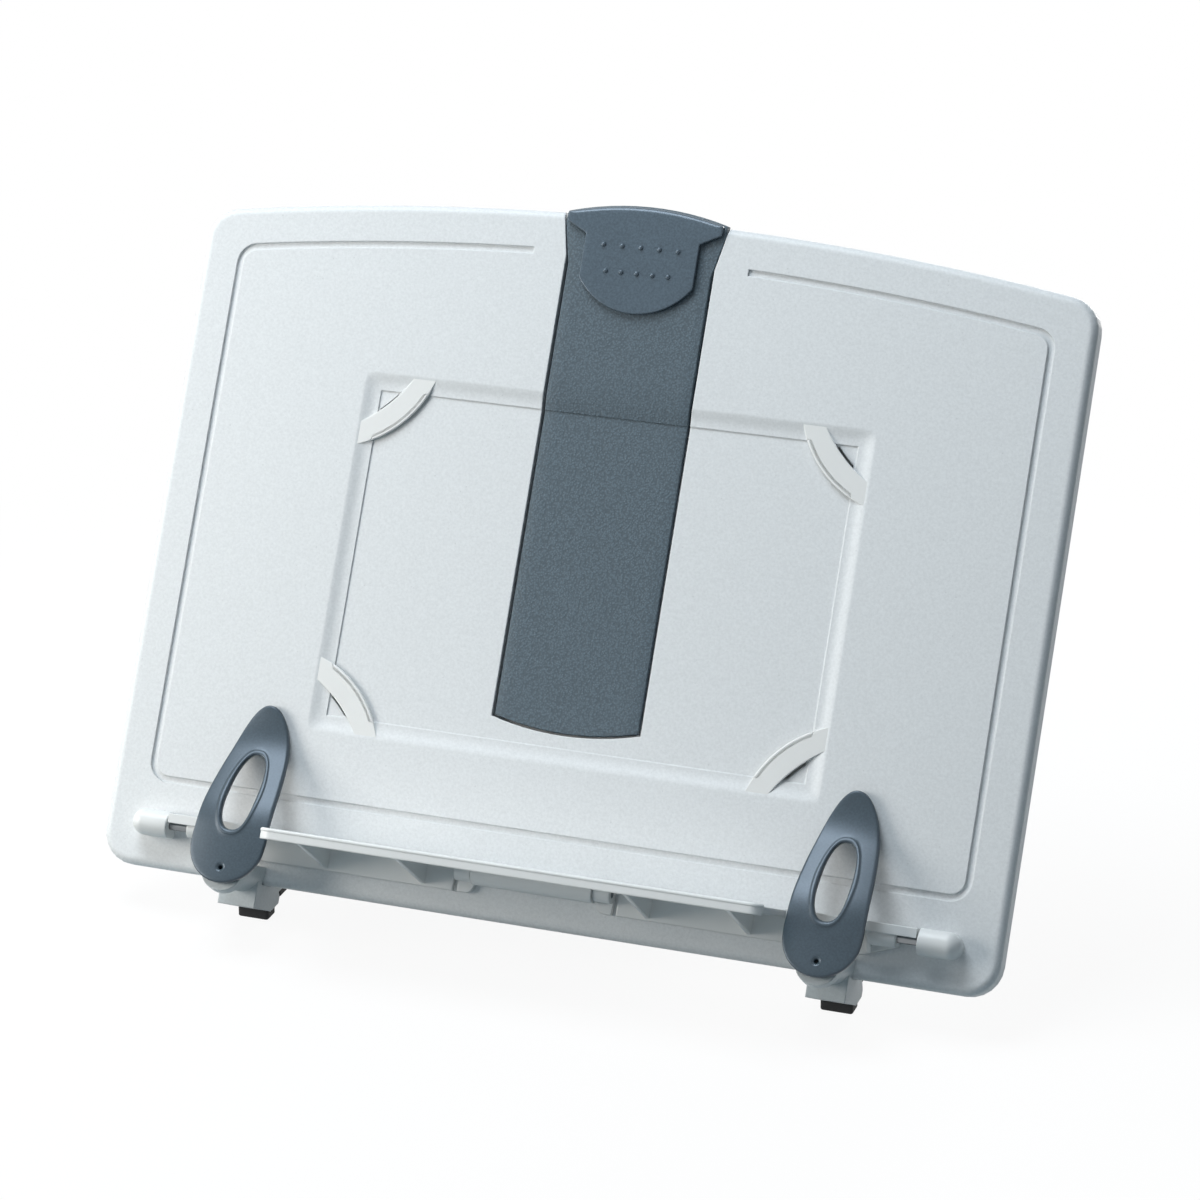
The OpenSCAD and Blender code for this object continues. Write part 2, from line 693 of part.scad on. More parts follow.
module extension_strip() {
    low = flange_low - over;
    head_low = board_h + slide_gap;
    spring_v = (flange_low + flange_top) / 2;
    color(slate) on_board() {
        difference() {
            union() {
                intersection() {
                    translate([0, 0, -board_t]) linear_extrude(2 * board_t)
                        polygon(strip_outline(0, strip_top, head_bow));
                    across(-head_half - over, head_half + over) polygon([
                        [low, -flange_front], [low, -recess_d - strip_sink], [step_low, -recess_d - strip_sink],
                        [step_low, recess_step - recess_d - strip_sink], [step_high, -strip_sink],
                        [strip_top + over, -strip_sink], [strip_top + over, -flange_front]
                    ]);
                }
                translate([-flange_half, flange_low, -flange_back])
                    cube([2 * flange_half, flange_top - flange_low, flange_t]);
                intersection() {
                    translate([0, 0, -shell_t]) linear_extrude(shell_t - strip_sink)
                        polygon(strip_outline(0, strip_top, head_bow));
                    translate([-board_w, head_low, -board_t]) cube([2 * board_w, board_h, 2 * board_t]);
                }
            }
            translate([-spring_w / 2 - slide_gap, spring_v - spring_l / 2 - slide_gap, -flange_back - over])
                cube([spring_w + 2 * slide_gap, spring_l + 2 * slide_gap, spring_pocket + over]);
        }
    }
}
// Bowed leaf that rubs on the channel cover, seated in the guide flange
module slide_spring() {
    root = -flange_back + spring_pocket;
    crest = -cover_front + flange_gap / 4;
    bow = root - crest - spring_t;
    r = bow_radius(spring_l / 2, bow);
    a = asin(spring_l / 2 / r);
    mid = [(flange_low + flange_top) / 2, crest + r + spring_t];
    color(steel) on_board() across(-spring_w / 2, spring_w / 2) polygon(concat(
        arc(mid, r, 270 - a, 270 + a, 16),
        arc(mid, r + spring_t, 270 + a, 270 - a, 16)
    ));
}
module grip_pad() {
    r = bow_radius(grip_half, grip_bow);
    a = asin(grip_half / r);
    low = board_h - grip_drop;
    shoulder = board_h - grip_shoulder;
    wing = board_h - grip_shoulder / 2;
    head_r = bow_radius(head_half, head_bow);
    b = asin((head_half - 1) / head_r);
    top = strip_top - 1;
    color(slate) on_board() {
        translate([0, 0, -strip_sink]) linear_extrude(grip_t + strip_sink) polygon(concat(
            arc([0, low + r], r, 270 - a, 270 + a, 16),
            [[grip_half, shoulder], [head_half - 1, wing]],
            arc([0, top - head_r], head_r, 90 - b, 90 + b, 12),
            [[-head_half + 1, wing], [-grip_half, shoulder]]
        ));
        for (i = [0:bumps - 1]) {
            translate([(i - (bumps - 1) / 2) * upper_pitch, board_h - upper_row, grip_t]) sphere(bump_r);
            translate([(i - (bumps - 1) / 2) * lower_pitch, board_h - lower_row, grip_t]) sphere(bump_r);
        }
    }
}

// Side view of the ledge: plate, lip and stop flange, out to a front edge
module ledge_section(front) {
    polygon([
        [flange_v, side_gap], [flange_v, side_gap + stop_t], [plate_v, side_gap + stop_t], [plate_v, front],
        [ledge_v, front], [ledge_v, side_gap + stop_t], [hinge_v + chamfer_rise, side_gap]
    ]);
}
// Side view of an end bar beyond the stop flange
module bar_section() {
    polygon([
        [plate_v, side_gap + stop_t], [plate_v, bar_d], [ledge_v, bar_d], [ledge_v, side_gap + stop_t]
    ]);
}
module ledge_lip() {
    intersection() {
        across(-ledge_w / 2, ledge_w / 2) polygon([
            [plate_v - lip_down, ledge_d - lip_t], [plate_v - lip_down, ledge_d],
            [ledge_v + lip_up, ledge_d], [ledge_v + lip_up, ledge_d - lip_t]
        ]);
        upward(0, board_h) ledge_plan();
    }
}
// Plan of the ledge between the clips, with its round front corners
module ledge_plan() {
    xc = ledge_w / 2 - lip_r;
    polygon(concat(
        [[-ledge_w / 2, 0], [ledge_w / 2, 0]],
        arc([xc, ledge_d - lip_r], lip_r, 0, 90, 8),
        arc([-xc, ledge_d - lip_r], lip_r, 90, 180, 8)
    ));
}
// Triangular web under the plate, from the stop flange out to a given depth
module gusset(u, front) {
    across(u - gusset_t / 2, u + gusset_t / 2) polygon([
        [plate_v, side_gap + stop_t], [plate_v, front], [flange_v + 1, side_gap + stop_t]
    ]);
}
module ledge_half() {
    knuckle_u = mid_half + side_gap;
    difference() {
        union() {
            intersection() {
                across(0, ledge_w / 2) ledge_section(ledge_d - lip_t / 2);
                upward(0, board_h) ledge_plan();
            }
            across(ledge_w / 2 - slice, flange_end) ledge_section(bar_d);
            across(flange_end - slice, bar_end) bar_section();
            for (u = gusset_u) gusset(u, ledge_d - lip_t);
            gusset(rib_u, bar_d);
            rod(knuckle_u, knuckle_u + knuckle_l, hinge_v, hinge_z, knuckle_r);
            rod(rib_u, flange_end, hinge_v, hinge_z, knuckle_r);
        }
        // Notch round the middle hood, and the gap that parts the flange from the knuckle
        translate([-over, 0, -over]) cube([knuckle_u + over, board_h, hinge_z + mid_r + side_gap + over]);
        translate([knuckle_u + knuckle_l, 0, -over])
            cube([flange_in - knuckle_u - knuckle_l, plate_v, hinge_z + mid_r + side_gap + over]);
        // Round lower corner of the knuckle's tab
        translate([knuckle_u, flange_v, -over]) difference() {
            cube([knuckle_l / 2, knuckle_l / 2, stop_t + side_gap + 2 * over]);
            translate([knuckle_l / 2, knuckle_l / 2, -over]) cylinder(h = board_t, r = knuckle_l / 2);
        }
        // Tapered outer end of the stop flange
        translate([0, 0, -over]) linear_extrude(side_gap + stop_t + over) polygon([
            [flange_end - taper_l, flange_v - over], [flange_end - taper_l, flange_v],
            [flange_end, flange_v + taper_rise], [flange_end + over, flange_v + taper_rise],
            [flange_end + over, flange_v - over]
        ]);
        rod(rib_u - gusset_t, bar_end + over, hinge_v, hinge_z, pin_r + pin_fix);
        rod(-over, knuckle_u + knuckle_l + over, hinge_v, hinge_z, pin_r + pin_fix);
    }
}
module ledge() {
    color(shell_white) on_board() translate([0, hinge_v, hinge_z]) rotate([ledge_tilt, 0, 0])
        translate([0, -hinge_v, -hinge_z]) {
            ledge_lip();
            for (side = [-1, 1]) on_side(side) ledge_half();
        }
}
module ledge_pin(side) {
    color(steel) on_board() on_side(side)
        rod(rib_u + gusset_t, hood_u + hood_bore - side_gap, hinge_v, hinge_z, pin_r);
}
module ledge_pin_left() { ledge_pin(-1); }
module ledge_pin_right() { ledge_pin(1); }
module ledge_pin_middle() {
    reach = mid_half + side_gap + knuckle_l;
    color(steel) on_board() rod(-reach, reach, hinge_v, hinge_z, pin_r);
}
module hinge_hood(side) {
    straight = hood_l - hood_r;
    color(shell_white) on_board() on_side(side) difference() {
        union() {
            translate([hood_u, hinge_v, hinge_z]) rotate([0, 90, 0]) rotate_extrude() intersection() {
                union() {
                    translate([-hood_r, 0]) square([2 * hood_r, straight]);
                    translate([0, straight]) circle(hood_r);
                }
                square([hood_r, hood_l]);
            }
            translate([hood_u + side_gap, hinge_v - hood_foot / 2, 0]) cube([straight - 2 * side_gap, hood_foot, hinge_z]);
        }
        rod(hood_u - over, hood_u + hood_bore, hinge_v, hinge_z, pin_r + pin_gap);
    }
}
module hinge_hood_left() { hinge_hood(-1); }
module hinge_hood_right() { hinge_hood(1); }
module hinge_hood_middle() {
    color(shell_white) on_board() difference() {
        union() {
            rod(-mid_half, mid_half, hinge_v, hinge_z, mid_r);
            translate([-mid_half, hinge_v - mid_foot / 2, 0]) cube([2 * mid_half, mid_foot, hinge_z]);
        }
        rod(-mid_half - over, mid_half + over, hinge_v, hinge_z, pin_r + pin_gap);
    }
}

module page_clip(side) {
    color(clip_slate) on_board() on_side(side) difference() {
        intersection() {
            across(clip_u - clip_half - over, clip_u + clip_half + over) polygon(clip_profile);
            translate([clip_u, 0, 0]) linear_extrude(2 * clip_z) polygon(clip_leaf);
        }
        translate([clip_u, 0, 0]) linear_extrude(2 * clip_z) polygon(finger_oval);
        at_pivot() translate([0, 0, -clip_t - over]) cylinder(h = clip_t + 2 * over, r = rivet_r + pin_gap);
        at_pivot() translate([0, 0, -rivet_head_t - washer_gap])
            cylinder(h = rivet_head_t + over, r = rivet_head + head_gap);
    }
}
module page_clip_left() { page_clip(-1); }
module page_clip_right() { page_clip(1); }
module clip_rivet(side) {
    shank = seat_depth + seat_t;
    color(steel) on_board() on_side(side) at_pivot() difference() {
        union() {
            translate([0, 0, -shank]) cylinder(h = shank, r = rivet_r);
            translate([0, 0, -rivet_head_t]) cylinder(h = rivet_head_t, r = rivet_head);
        }
        translate([0, 0, -shank / 2]) cylinder(h = shank, r = rivet_hole);
    }
}
module clip_rivet_left() { clip_rivet(-1); }
module clip_rivet_right() { clip_rivet(1); }
module clip_washer(side) {
    color(steel) on_board() on_side(side) at_pivot()
        translate([0, 0, -clip_t - washer_gap - washer_t]) difference() {
            cylinder(h = washer_t, r = washer_r);
            translate([0, 0, -over]) cylinder(h = washer_t + 2 * over, r = rivet_r + pin_fix);
        }
}
module clip_washer_left() { clip_washer(-1); }
module clip_washer_right() { clip_washer(1); }

// Foot bracket: a saddle over the board's bottom edge with a round seat for the clip in front
module bracket_side_view() {
    polygon([
        [-block_drop, block_back], [-block_drop, block_front], [arm_top, block_front], [arm_top, 0], [0, 0],
        [0, -board_t], [plate_h, -board_t], [plate_h, -board_t - plate_t], [plate_h / 3, -board_t - plate_t],
        [-block_drop / 3, block_back]
    ]);
}
module bracket_arm() {
    intersection() {
        union() {
            translate([clip_u, arm_r - arm_drop, 0]) cylinder(h = 2 * clip_z, r = arm_r);
            translate([clip_u - arm_r, arm_r - arm_drop, 0]) cube([2 * arm_r, board_h, 2 * clip_z]);
        }
        translate([0, -board_h, 0]) cube([board_w, board_h + arm_top, 2 * clip_z]);
        at_pivot() translate([-board_w, -board_w, -seat_depth - seat_t / 2 - 2 * board_w])
            cube([2 * board_w, 2 * board_w, 2 * board_w]);
    }
    at_pivot() translate([0, 0, -seat_depth - seat_t]) cylinder(h = seat_t, r = seat_r);
}
module foot_bracket(side) {
    color(light_grey) translate([side * clip_u - toe_w / 2, foot_y0 + over, foot_t])
        cube([toe_w, toe_reach + centre_y - foot_y0 - over, toe_t]);
    color(light_grey) difference() {
        on_board() on_side(side) difference() {
            union() {
                across(clip_u - bracket_w / 2, clip_u + bracket_w / 2) bracket_side_view();
                bracket_arm();
            }
            at_pivot() translate([0, 0, -seat_depth - seat_t - side_gap])
                cylinder(h = seat_t + seat_depth, r = rivet_r + pin_fix);
            screw_holes([for (p = bracket_screw_at) if (p[0] > 0) p], -board_t - plate_t - over, -board_t + over);
        }
        below(foot_t);
    }
}
module foot_bracket_left() { foot_bracket(-1); }
module foot_bracket_right() { foot_bracket(1); }
module bracket_screws() {
    color(steel) on_board() for (p = bracket_screw_at)
        translate([p[0], p[1], -board_t - plate_t]) rotate([180, 0, 0]) screw(plate_t + back_t + screw_grip - screw_gap);
}
// Rubber foot under the cut heel of a bracket
module rubber_foot(side) {
    color(rubber_black) translate([side * clip_u - foot_w / 2, foot_y0, 0]) cube([foot_w, foot_y1 - foot_y0, foot_t]);
}
module rubber_foot_left() { rubber_foot(-1); }
module rubber_foot_right() { rubber_foot(1); }
// Rubber foot under the end of a bracket's toe
module rubber_heel(side) {
    color(rubber_black) translate([side * clip_u - heel_w / 2, toe_reach + centre_y - heel_inset - heel_l, 0])
        cube([heel_w, heel_l, foot_t]);
}
module rubber_heel_left() { rubber_heel(-1); }
module rubber_heel_right() { rubber_heel(1); }

// Flat leg with ears at its hinge; its foot end is cut level and its top end meets the board's back
module leg_plate() {
    long = leg_run + leg_t;
    heel = leg_z / sin(leg_open) + leg_t;
    ear_in = block_u - block_w / 2 - ear_gap;
    ear_out = block_u + block_w / 2 + ear_gap;
    slope = (leg_top_w - leg_foot_w) / 2 / leg_run;
    difference() {
        union() {
            translate([0, 0, -leg_t / 2]) linear_extrude(leg_t) polygon([
                [-leg_top_w / 2 + slope * long, -long], [leg_top_w / 2 - slope * long, -long],
                [leg_top_w / 2, 0], [ear_in - ear_w, 0], [ear_in - ear_w, heel],
                [-ear_in + ear_w, heel], [-ear_in + ear_w, 0], [-leg_top_w / 2, 0]
            ]);
            for (side = [-1, 1]) on_side(side) {
                rod(ear_in - ear_w, ear_in, 0, 0, ear_r);
                rod(ear_out, ear_out + ear_w, 0, 0, ear_r);
            }
        }
        for (side = [-1, 1]) on_side(side) {
            translate([ear_in, -hinge_base - ear_gap, -board_t]) cube([ear_out - ear_in, board_h, 2 * board_t]);
            rod(0, board_w, 0, 0, leg_pin_r + pin_fix);
        }
        translate([0, 0, -leg_t]) linear_extrude(leg_t / 2 + leg_sink) polygon([
            [-leg_foot_w / 2 + leg_border, -leg_run + 2 * leg_border], [leg_foot_w / 2 - leg_border, -leg_run + 2 * leg_border],
            [leg_top_w / 2 - 2 * leg_border, -2 * leg_border], [-leg_top_w / 2 + 2 * leg_border, -2 * leg_border]
        ]);
    }
}
module prop_leg() {
    color(light_grey) difference() {
        on_board() difference() {
            at_leg() leg_plate();
            translate([-board_w, 0, -board_t - stop_gap]) cube([2 * board_w, 2 * board_h, board_w]);
        }
        below(pad_t);
    }
}
module leg_pad(side) {
    color(rubber_black) intersection() {
        on_board() at_leg() translate([side * (leg_foot_w / 2 - pad_w), -2 * leg_run, -leg_t / 2])
            translate([-pad_w / 2, 0, 0]) cube([pad_w, 2 * leg_run, leg_t]);
        difference() {
            below(pad_t);
            below(0);
        }
    }
}
module leg_pad_left() { leg_pad(-1); }
module leg_pad_right() { leg_pad(1); }
module leg_hinge(side) {
    color(light_grey) on_board() on_side(side) difference() {
        union() {
            translate([block_u - block_w / 2, leg_v - hinge_base, -board_t - plate_t]) cube([block_w, 2 * hinge_base, plate_t]);
            translate([block_u - block_w / 2, leg_v - ear_r, leg_axis_z]) cube([block_w, 2 * ear_r, leg_z]);
            rod(block_u - block_w / 2, block_u + block_w / 2, leg_v, leg_axis_z, ear_r);
        }
        rod(0, board_w, leg_v, leg_axis_z, leg_pin_r + pin_gap);
        screw_holes([for (p = leg_screw_at) if (p[0] > 0) p], -board_t - plate_t - over, -board_t + over);
    }
}
module leg_hinge_left() { leg_hinge(-1); }
module leg_hinge_right() { leg_hinge(1); }
module leg_pin(side) {
    reach = block_w / 2 + ear_gap + ear_w;
    color(steel) on_board() on_side(side) rod(block_u - reach, block_u + reach, leg_v, leg_axis_z, leg_pin_r);
}
module leg_pin_left() { leg_pin(-1); }
module leg_pin_right() { leg_pin(1); }
module leg_hinge_screws() {
    color(steel) on_board() for (p = leg_screw_at)
        translate([p[0], p[1], -board_t - plate_t]) rotate([180, 0, 0]) screw(plate_t + back_t + screw_grip - screw_gap);
}

front_shell();
back_cover();
cover_screws();
channel_cover();
card_strap_top_left();
card_strap_top_right();
card_strap_bottom_left();
card_strap_bottom_right();
extension_strip();
grip_pad();
slide_spring();
ledge();
ledge_pin_left();
ledge_pin_right();
ledge_pin_middle();
hinge_hood_left();
hinge_hood_right();
hinge_hood_middle();
page_clip_left();
page_clip_right();
clip_rivet_left();
clip_rivet_right();
clip_washer_left();
clip_washer_right();
foot_bracket_left();
foot_bracket_right();
bracket_screws();
rubber_foot_left();
rubber_foot_right();
rubber_heel_left();
rubber_heel_right();
prop_leg();
leg_pad_left();
leg_pad_right();
leg_hinge_left();
leg_hinge_right();
leg_pin_left();
leg_pin_right();
leg_hinge_screws();
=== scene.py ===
"""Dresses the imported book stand: softly edged new pieces, moulded plastic finishes, light and camera."""

import json

import bpy
import numpy as np
from bpy.props import FloatProperty, FloatVectorProperty, IntProperty, PointerProperty
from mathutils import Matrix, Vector


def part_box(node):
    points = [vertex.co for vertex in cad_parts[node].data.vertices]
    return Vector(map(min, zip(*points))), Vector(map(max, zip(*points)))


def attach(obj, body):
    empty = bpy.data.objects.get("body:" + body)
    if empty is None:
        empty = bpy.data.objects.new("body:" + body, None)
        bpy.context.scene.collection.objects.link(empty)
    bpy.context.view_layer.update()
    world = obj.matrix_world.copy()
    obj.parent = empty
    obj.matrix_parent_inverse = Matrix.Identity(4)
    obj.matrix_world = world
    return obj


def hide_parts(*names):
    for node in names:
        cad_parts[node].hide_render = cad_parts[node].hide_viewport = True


bl_info = {
    "name": "Book stand",
    "version": (1, 0, 0),
    "blender": (4, 5, 0),
    "location": "View3D > Sidebar > Book stand",
    "description": "Dresses a leaning book stand with a pull-up strip, a folding ledge and page clips",
    "category": "Object",
}

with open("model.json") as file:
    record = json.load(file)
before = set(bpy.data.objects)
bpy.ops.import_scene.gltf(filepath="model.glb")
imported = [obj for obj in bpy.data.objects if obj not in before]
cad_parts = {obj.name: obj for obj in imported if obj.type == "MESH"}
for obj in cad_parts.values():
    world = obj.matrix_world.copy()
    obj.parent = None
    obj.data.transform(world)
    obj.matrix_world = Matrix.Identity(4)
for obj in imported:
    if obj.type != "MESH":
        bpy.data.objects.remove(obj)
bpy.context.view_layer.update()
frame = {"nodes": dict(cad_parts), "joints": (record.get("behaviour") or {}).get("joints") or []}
JOINTS = {joint["name"]: joint for joint in frame["joints"]}

# The board's own frame: across, up the board and out of its face. Places on it are in millimetres.
MM = 0.001
ACROSS = np.array((1.0, 0.0, 0.0))
UP = np.array(JOINTS["extension_lift"]["axis"])
OUT = np.cross(ACROSS, UP)
LEDGE_HINGE = np.array((0.0, 16.1, 4.8))
ORIGIN = np.array(JOINTS["ledge_fold"]["pos_m"]) - MM * (LEDGE_HINGE[1] * UP + LEDGE_HINGE[2] * OUT)
BOARD_H = 259.5
BOARD_T = 9.0
HALF_W = 170.0
CROWN = 13.5
RECESS_HALF = 96.6
RECESS_LOW = 59.1
RECESS_HIGH = 191.3
RECESS_BEVEL = 5.5
RECESS_FALL = 1.2
SIDES = (("left", -1), ("right", 1))

# The pull-up strip: its ends, its depth under the board's face, its step at the recess floor, the rows
# between which its head flares, its underside, and how much lower the head's underside is.
STRIP_BOTTOM = 70.2
STRIP_TOP = 264.1
STRIP_SINK = 0.15
FLOOR_STEP = 0.4
FLARE_LOW = 243.0
FLARE_HIGH = 259.0
STRIP_BACK = 4.1
HEAD_BACK = 2.7
# Rows of bumps on the grip: distance below the board's top, and pitch.
BUMP_ROWS = ((11.5, 7.1), (21.1, 5.95))

# The ledge: its slope, its end, its lip, the section of its end bars with the gap at their ends, and where
# the end hoods start, with the radius of their bores.
LEDGE_TILT = np.radians(1.4)
LEDGE_END = 94.0
LIP_TOP = 20.2
LIP_FRONT = 39.6
LIP_CORNER = 5.0
BAR_LOW = 17.0
BAR_FRONT = 9.2
BAR_HEEL = 2.4
BAR_SHOULDER = 4.5
BAR_BACK = (19.5, 2.6)
BAR_GAP = 0.5
HOOD_U = 141.8
HOOD_BORE = 1.68

# The clips: pivot, angle at the pivot, the angle in degrees at lengths along a clip, and the straight
# stretch of its sides.
CLIP_U = 111.6
CLIP_V = 3.6
CLIP_Z = 24.9
CLIP_BASE = np.radians(11.5)
CLIP_RUN = (0.0, 15.0, 28.0, 44.9, 66.2)
CLIP_ANGLES = (11.5, 11.5, 32.0, 32.0, -5.2)
CLIP_STRAIGHT = 5.3
# The ring round a finger hole: reach from the hole's edge with the share of the ring's height there, and the
# reach of its foot.
RING_STEPS = ((0.5, 1.0), (0.7, 0.75), (0.85, 0.25))
RING_END = 1.05
# Radius and height of the points round a clip's sink and its rivet.
SINK = ((1.36, -4.0), (1.36, -0.9), (1.86, -0.9), (1.86, 1.0))
RIVET = ((0.02, -3.4), (0.75, -3.4), (0.75, -0.72), (0.82, -0.6), (1.05, -0.38), (1.35, -0.16), (1.6, -0.05),
         (1.82, -0.01), (1.82, -0.85), (1.3, -0.85), (1.3, -6.9))

# The screws: distance of the cover's from the board's edges, place of its inner ones, half the spacing and
# the height of a bracket's pair, places of a leg hinge's pair, the flange under these two kinds, and the
# lengths of the shanks.
SCREW_INSET = 11.0
SCREW_INNER = 65.0
BRACKET_HALF = 4.0
BRACKET_SCREW = 9.0
LEG_SCREWS = ((56.0, 155.0), (56.0, 175.0))
FLANGE = 2.5
COVER_SHANK = 4.1
FLANGE_SHANK = 6.6

# Angles in degrees past which an edge stays sharp.
SHARP = 38.0
SCREW_SHARP = 30.0

# Places in metres of the lamps, of the point that they face and of the camera, and the way the camera looks.
KEY_PLACE = (-0.44, -0.05, 1.5)
SIDE_PLACE = (-0.85, -0.49, 0.35)
REAR_PLACE = (0.25, 1.1, 0.35)
LAMP_AIM = (0.0, -0.02, 0.13)
CAMERA_PLACE = (0.4734, -1.3279, 0.6940)
CAMERA_LOOK = (-0.3081, 0.8737, -0.3764)


def tone(red, green, blue):
    """A colour given in screen values 0 to 255, as linear light: the screen curve undone by channel."""
    share = np.array((red, green, blue)) / 255
    light = np.where(share <= 0.04045, share / 12.92, ((share + 0.055) / 1.055) ** 2.4)
    return tuple(float(x) for x in light)


def length(name, description, default):
    """A size in metres that a user may change."""
    return FloatProperty(name=name, description=description, default=default, min=0, precision=5,
                         subtype="DISTANCE", unit="LENGTH")


def fraction(name, description, default):
    """A share from 0 to 1 that a user may change."""
    return FloatProperty(name=name, description=description, default=default, min=0, max=1, subtype="FACTOR")


def power(name, description, default):
    """A lamp's power in watts that a user may change."""
    return FloatProperty(name=name, description=description, default=default, min=0, unit="POWER")


def colour(name, description, default):
    """A finish colour that a user may change."""
    return FloatVectorProperty(name=name, description=description, default=default, size=3, min=0, max=1,
                               subtype="COLOR")


class StrapSizes(bpy.types.PropertyGroup):
    """Sizes of the straps across the corners of the card recess."""

    thickness: length("Thickness", "Thickness of a strap over the recess floor", 0.0009)
    reach: length("Reach", "Distance of the inner edge's ends from the recess corner", 0.0264)
    start: length("Start", "Distance of the outer edge's ends from the recess corner", 0.0179)
    bulge: length("Bulge", "Bow of the inner edge", 0.0046)
    hollow: length("Hollow", "Bow of the outer edge", 0.0015)
    edge: length("Edge", "Radius of the straps' edges", 0.00025)
    bead: length("Bead", "Width of the bead along the inner edge with its groove", 0.0015)
    groove: length("Groove", "Depth of the groove beside the bead", 0.0005)


class ExtensionSizes(bpy.types.PropertyGroup):
    """Sizes of the pull-up strip and its grip."""

    half_width: length("Half width", "Half the strip's width", 0.02725)
    flare: length("Flare", "Widening of the strip's head on each side", 0.0032)
    bottom_bow: length("Bottom bow", "Bow of the strip's lower end", 0.0036)
    head_bow: length("Head bow", "Bow of the head's top", 0.0042)
    head_roll: length("Head roll", "Radius of the head's rolled top edge", 0.0024)
    edge: length("Edge", "Radius of the strip's long edges", 0.00035)
    grip_half: length("Grip half width", "Half the width of the grip shield", 0.0217)
    grip_rise: length("Grip rise", "Height of the grip shield over the strip", 0.0018)
    grip_edge: length("Grip edge", "Radius of the grip shield's edge", 0.00045)
    bump: length("Bump", "Radius of a bump on the grip", 0.00095)


class HingeSizes(bpy.types.PropertyGroup):
    """Sizes of the end hoods over the ledge's pins, of the ledge's end bars between them and of its lip."""

    radius: length("Radius", "Radius of an end hood", 0.0048)
    reach: length("Length", "Length of an end hood with its dome", 0.0148)
    edge: length("Edge", "Radius of the hood's inner edge", 0.0005)
    bar_height: length("Bar height", "Height of an end bar's front", 0.0035)
    bar_edge: length("Bar edge", "Reach over which an end bar's edges are rounded", 0.0004)
    bead: length("Bead", "Radius of the bead along the lip's top edge", 0.0008)


class ClipSizes(bpy.types.PropertyGroup):
    """Sizes of the page clips."""

    half_width: length("Half width", "Half the width of a clip", 0.0141)
    drop: length("Drop", "Distance of a clip's lower end below its pivot", 0.0057)
    thickness: length("Thickness", "Thickness of a clip", 0.0024)
    finger_half: length("Hole half width", "Half the width of the finger hole", 0.0058)
    finger_height: length("Hole height", "Height of the finger hole", 0.0285)
    finger_rise: length("Hole rise", "Height of the hole's middle over the pivot", 0.0282)
    finger_egg: fraction("Hole egg", "Share by which the hole is wider below its middle", 0.05)
    finger_edge: length("Hole edge", "Radius of the finger hole's front edge", 0.0011)
    edge: length("Edge", "Radius of the clip's front edges", 0.001)
    lip: length("Lip", "Height of the ring round the finger hole", 0.0003)
    crown: length("Crown", "Fall of the clip's face from its middle to its sides", 0.0012)


class FootSizes(bpy.types.PropertyGroup):
    """Sizes of the rubber feet."""

    edge: length("Edge", "Radius of a rubber foot's lower edge", 0.0007)
    corner: length("Corner", "Radius of a rubber foot's corners", 0.0014)


class ScrewSizes(bpy.types.PropertyGroup):
    """Sizes of the pan-head screws."""

    head_radius: length("Head radius", "Radius of a screw's head", 0.0026)
    head_height: length("Head height", "Height of a screw's head", 0.0014)
    shank_radius: length("Shank radius", "Radius of a screw's shank", 0.0013)
    cross_width: length("Cross width", "Width of the arms of the driver's cross", 0.0008)
    cross_depth: length("Cross depth", "Depth of the driver's cross", 0.0007)
    segments: IntProperty(name="Segments", description="Faces round a screw", default=64, min=16, max=128)


class FinishColours(bpy.types.PropertyGroup):
    """Colours of the finishes."""

    board: colour("Board", "Textured cool white of the board", tone(226, 228, 229))
    strap: colour("Straps", "Smooth white of the card straps", tone(233, 233, 231))
    ledge: colour("Ledge", "Satin white of the ledge and its hoods", tone(229, 230, 229))
    strip: colour("Strip", "Pebbled slate of the pull-up strip", tone(92, 107, 117))
    grip: colour("Grip", "Satin slate of the grip shield", tone(74, 88, 98))
    clip: colour("Clips", "Satin slate of the page clips", tone(53, 66, 74))
    rivet: colour("Rivets", "Dark slate of the pivot rivets", tone(54, 68, 76))
    bracket: colour("Brackets", "Light grey of the foot brackets and the prop leg", tone(196, 202, 204))
    rubber: colour("Rubber", "Black rubber of the feet", tone(30, 31, 32))
    # The ledge pins' steel is darkened as painted shade, since they sit in the shade under the ledge.
    pin: colour("Ledge pins", "Dull steel of the ledge's hinge pins", tone(128, 132, 135))
    steel: colour("Steel", "Bright steel of screws, washers and leg pins", tone(190, 192, 194))


class StageSizes(bpy.types.PropertyGroup):
    """Light, floor and lens."""

    key_power: power("Key power", "Power of the lamp overhead", 17.4)
    key_size: length("Key size", "Width of the lamp overhead", 0.9)
    side_power: power("Side power", "Power of the lamp at the left", 6.6)
    side_size: length("Side size", "Width of the lamp at the left", 0.6)
    rear_power: power("Rear power", "Power of the lamp behind", 8.0)
    rear_size: length("Rear size", "Width of the lamp behind", 0.6)
    ambient: fraction("Ambient", "Strength of the light from all round", 0.2)
    fade: fraction("Fade", "Share by which that light fades to the right", 0.2)
    shadow: fraction("Shadow", "Share of the floor's own shading", 0.08)
    lens: FloatProperty(name="Lens", description="Focal length in millimetres", default=126.98, min=1)


class BookStand(bpy.types.PropertyGroup):
    """All sizes and colours of the book stand."""

    straps: PointerProperty(type=StrapSizes)
    extension: PointerProperty(type=ExtensionSizes)
    hinge: PointerProperty(type=HingeSizes)
    clips: PointerProperty(type=ClipSizes)
    feet: PointerProperty(type=FootSizes)
    screws: PointerProperty(type=ScrewSizes)
    colours: PointerProperty(type=FinishColours)
    stage: PointerProperty(type=StageSizes)


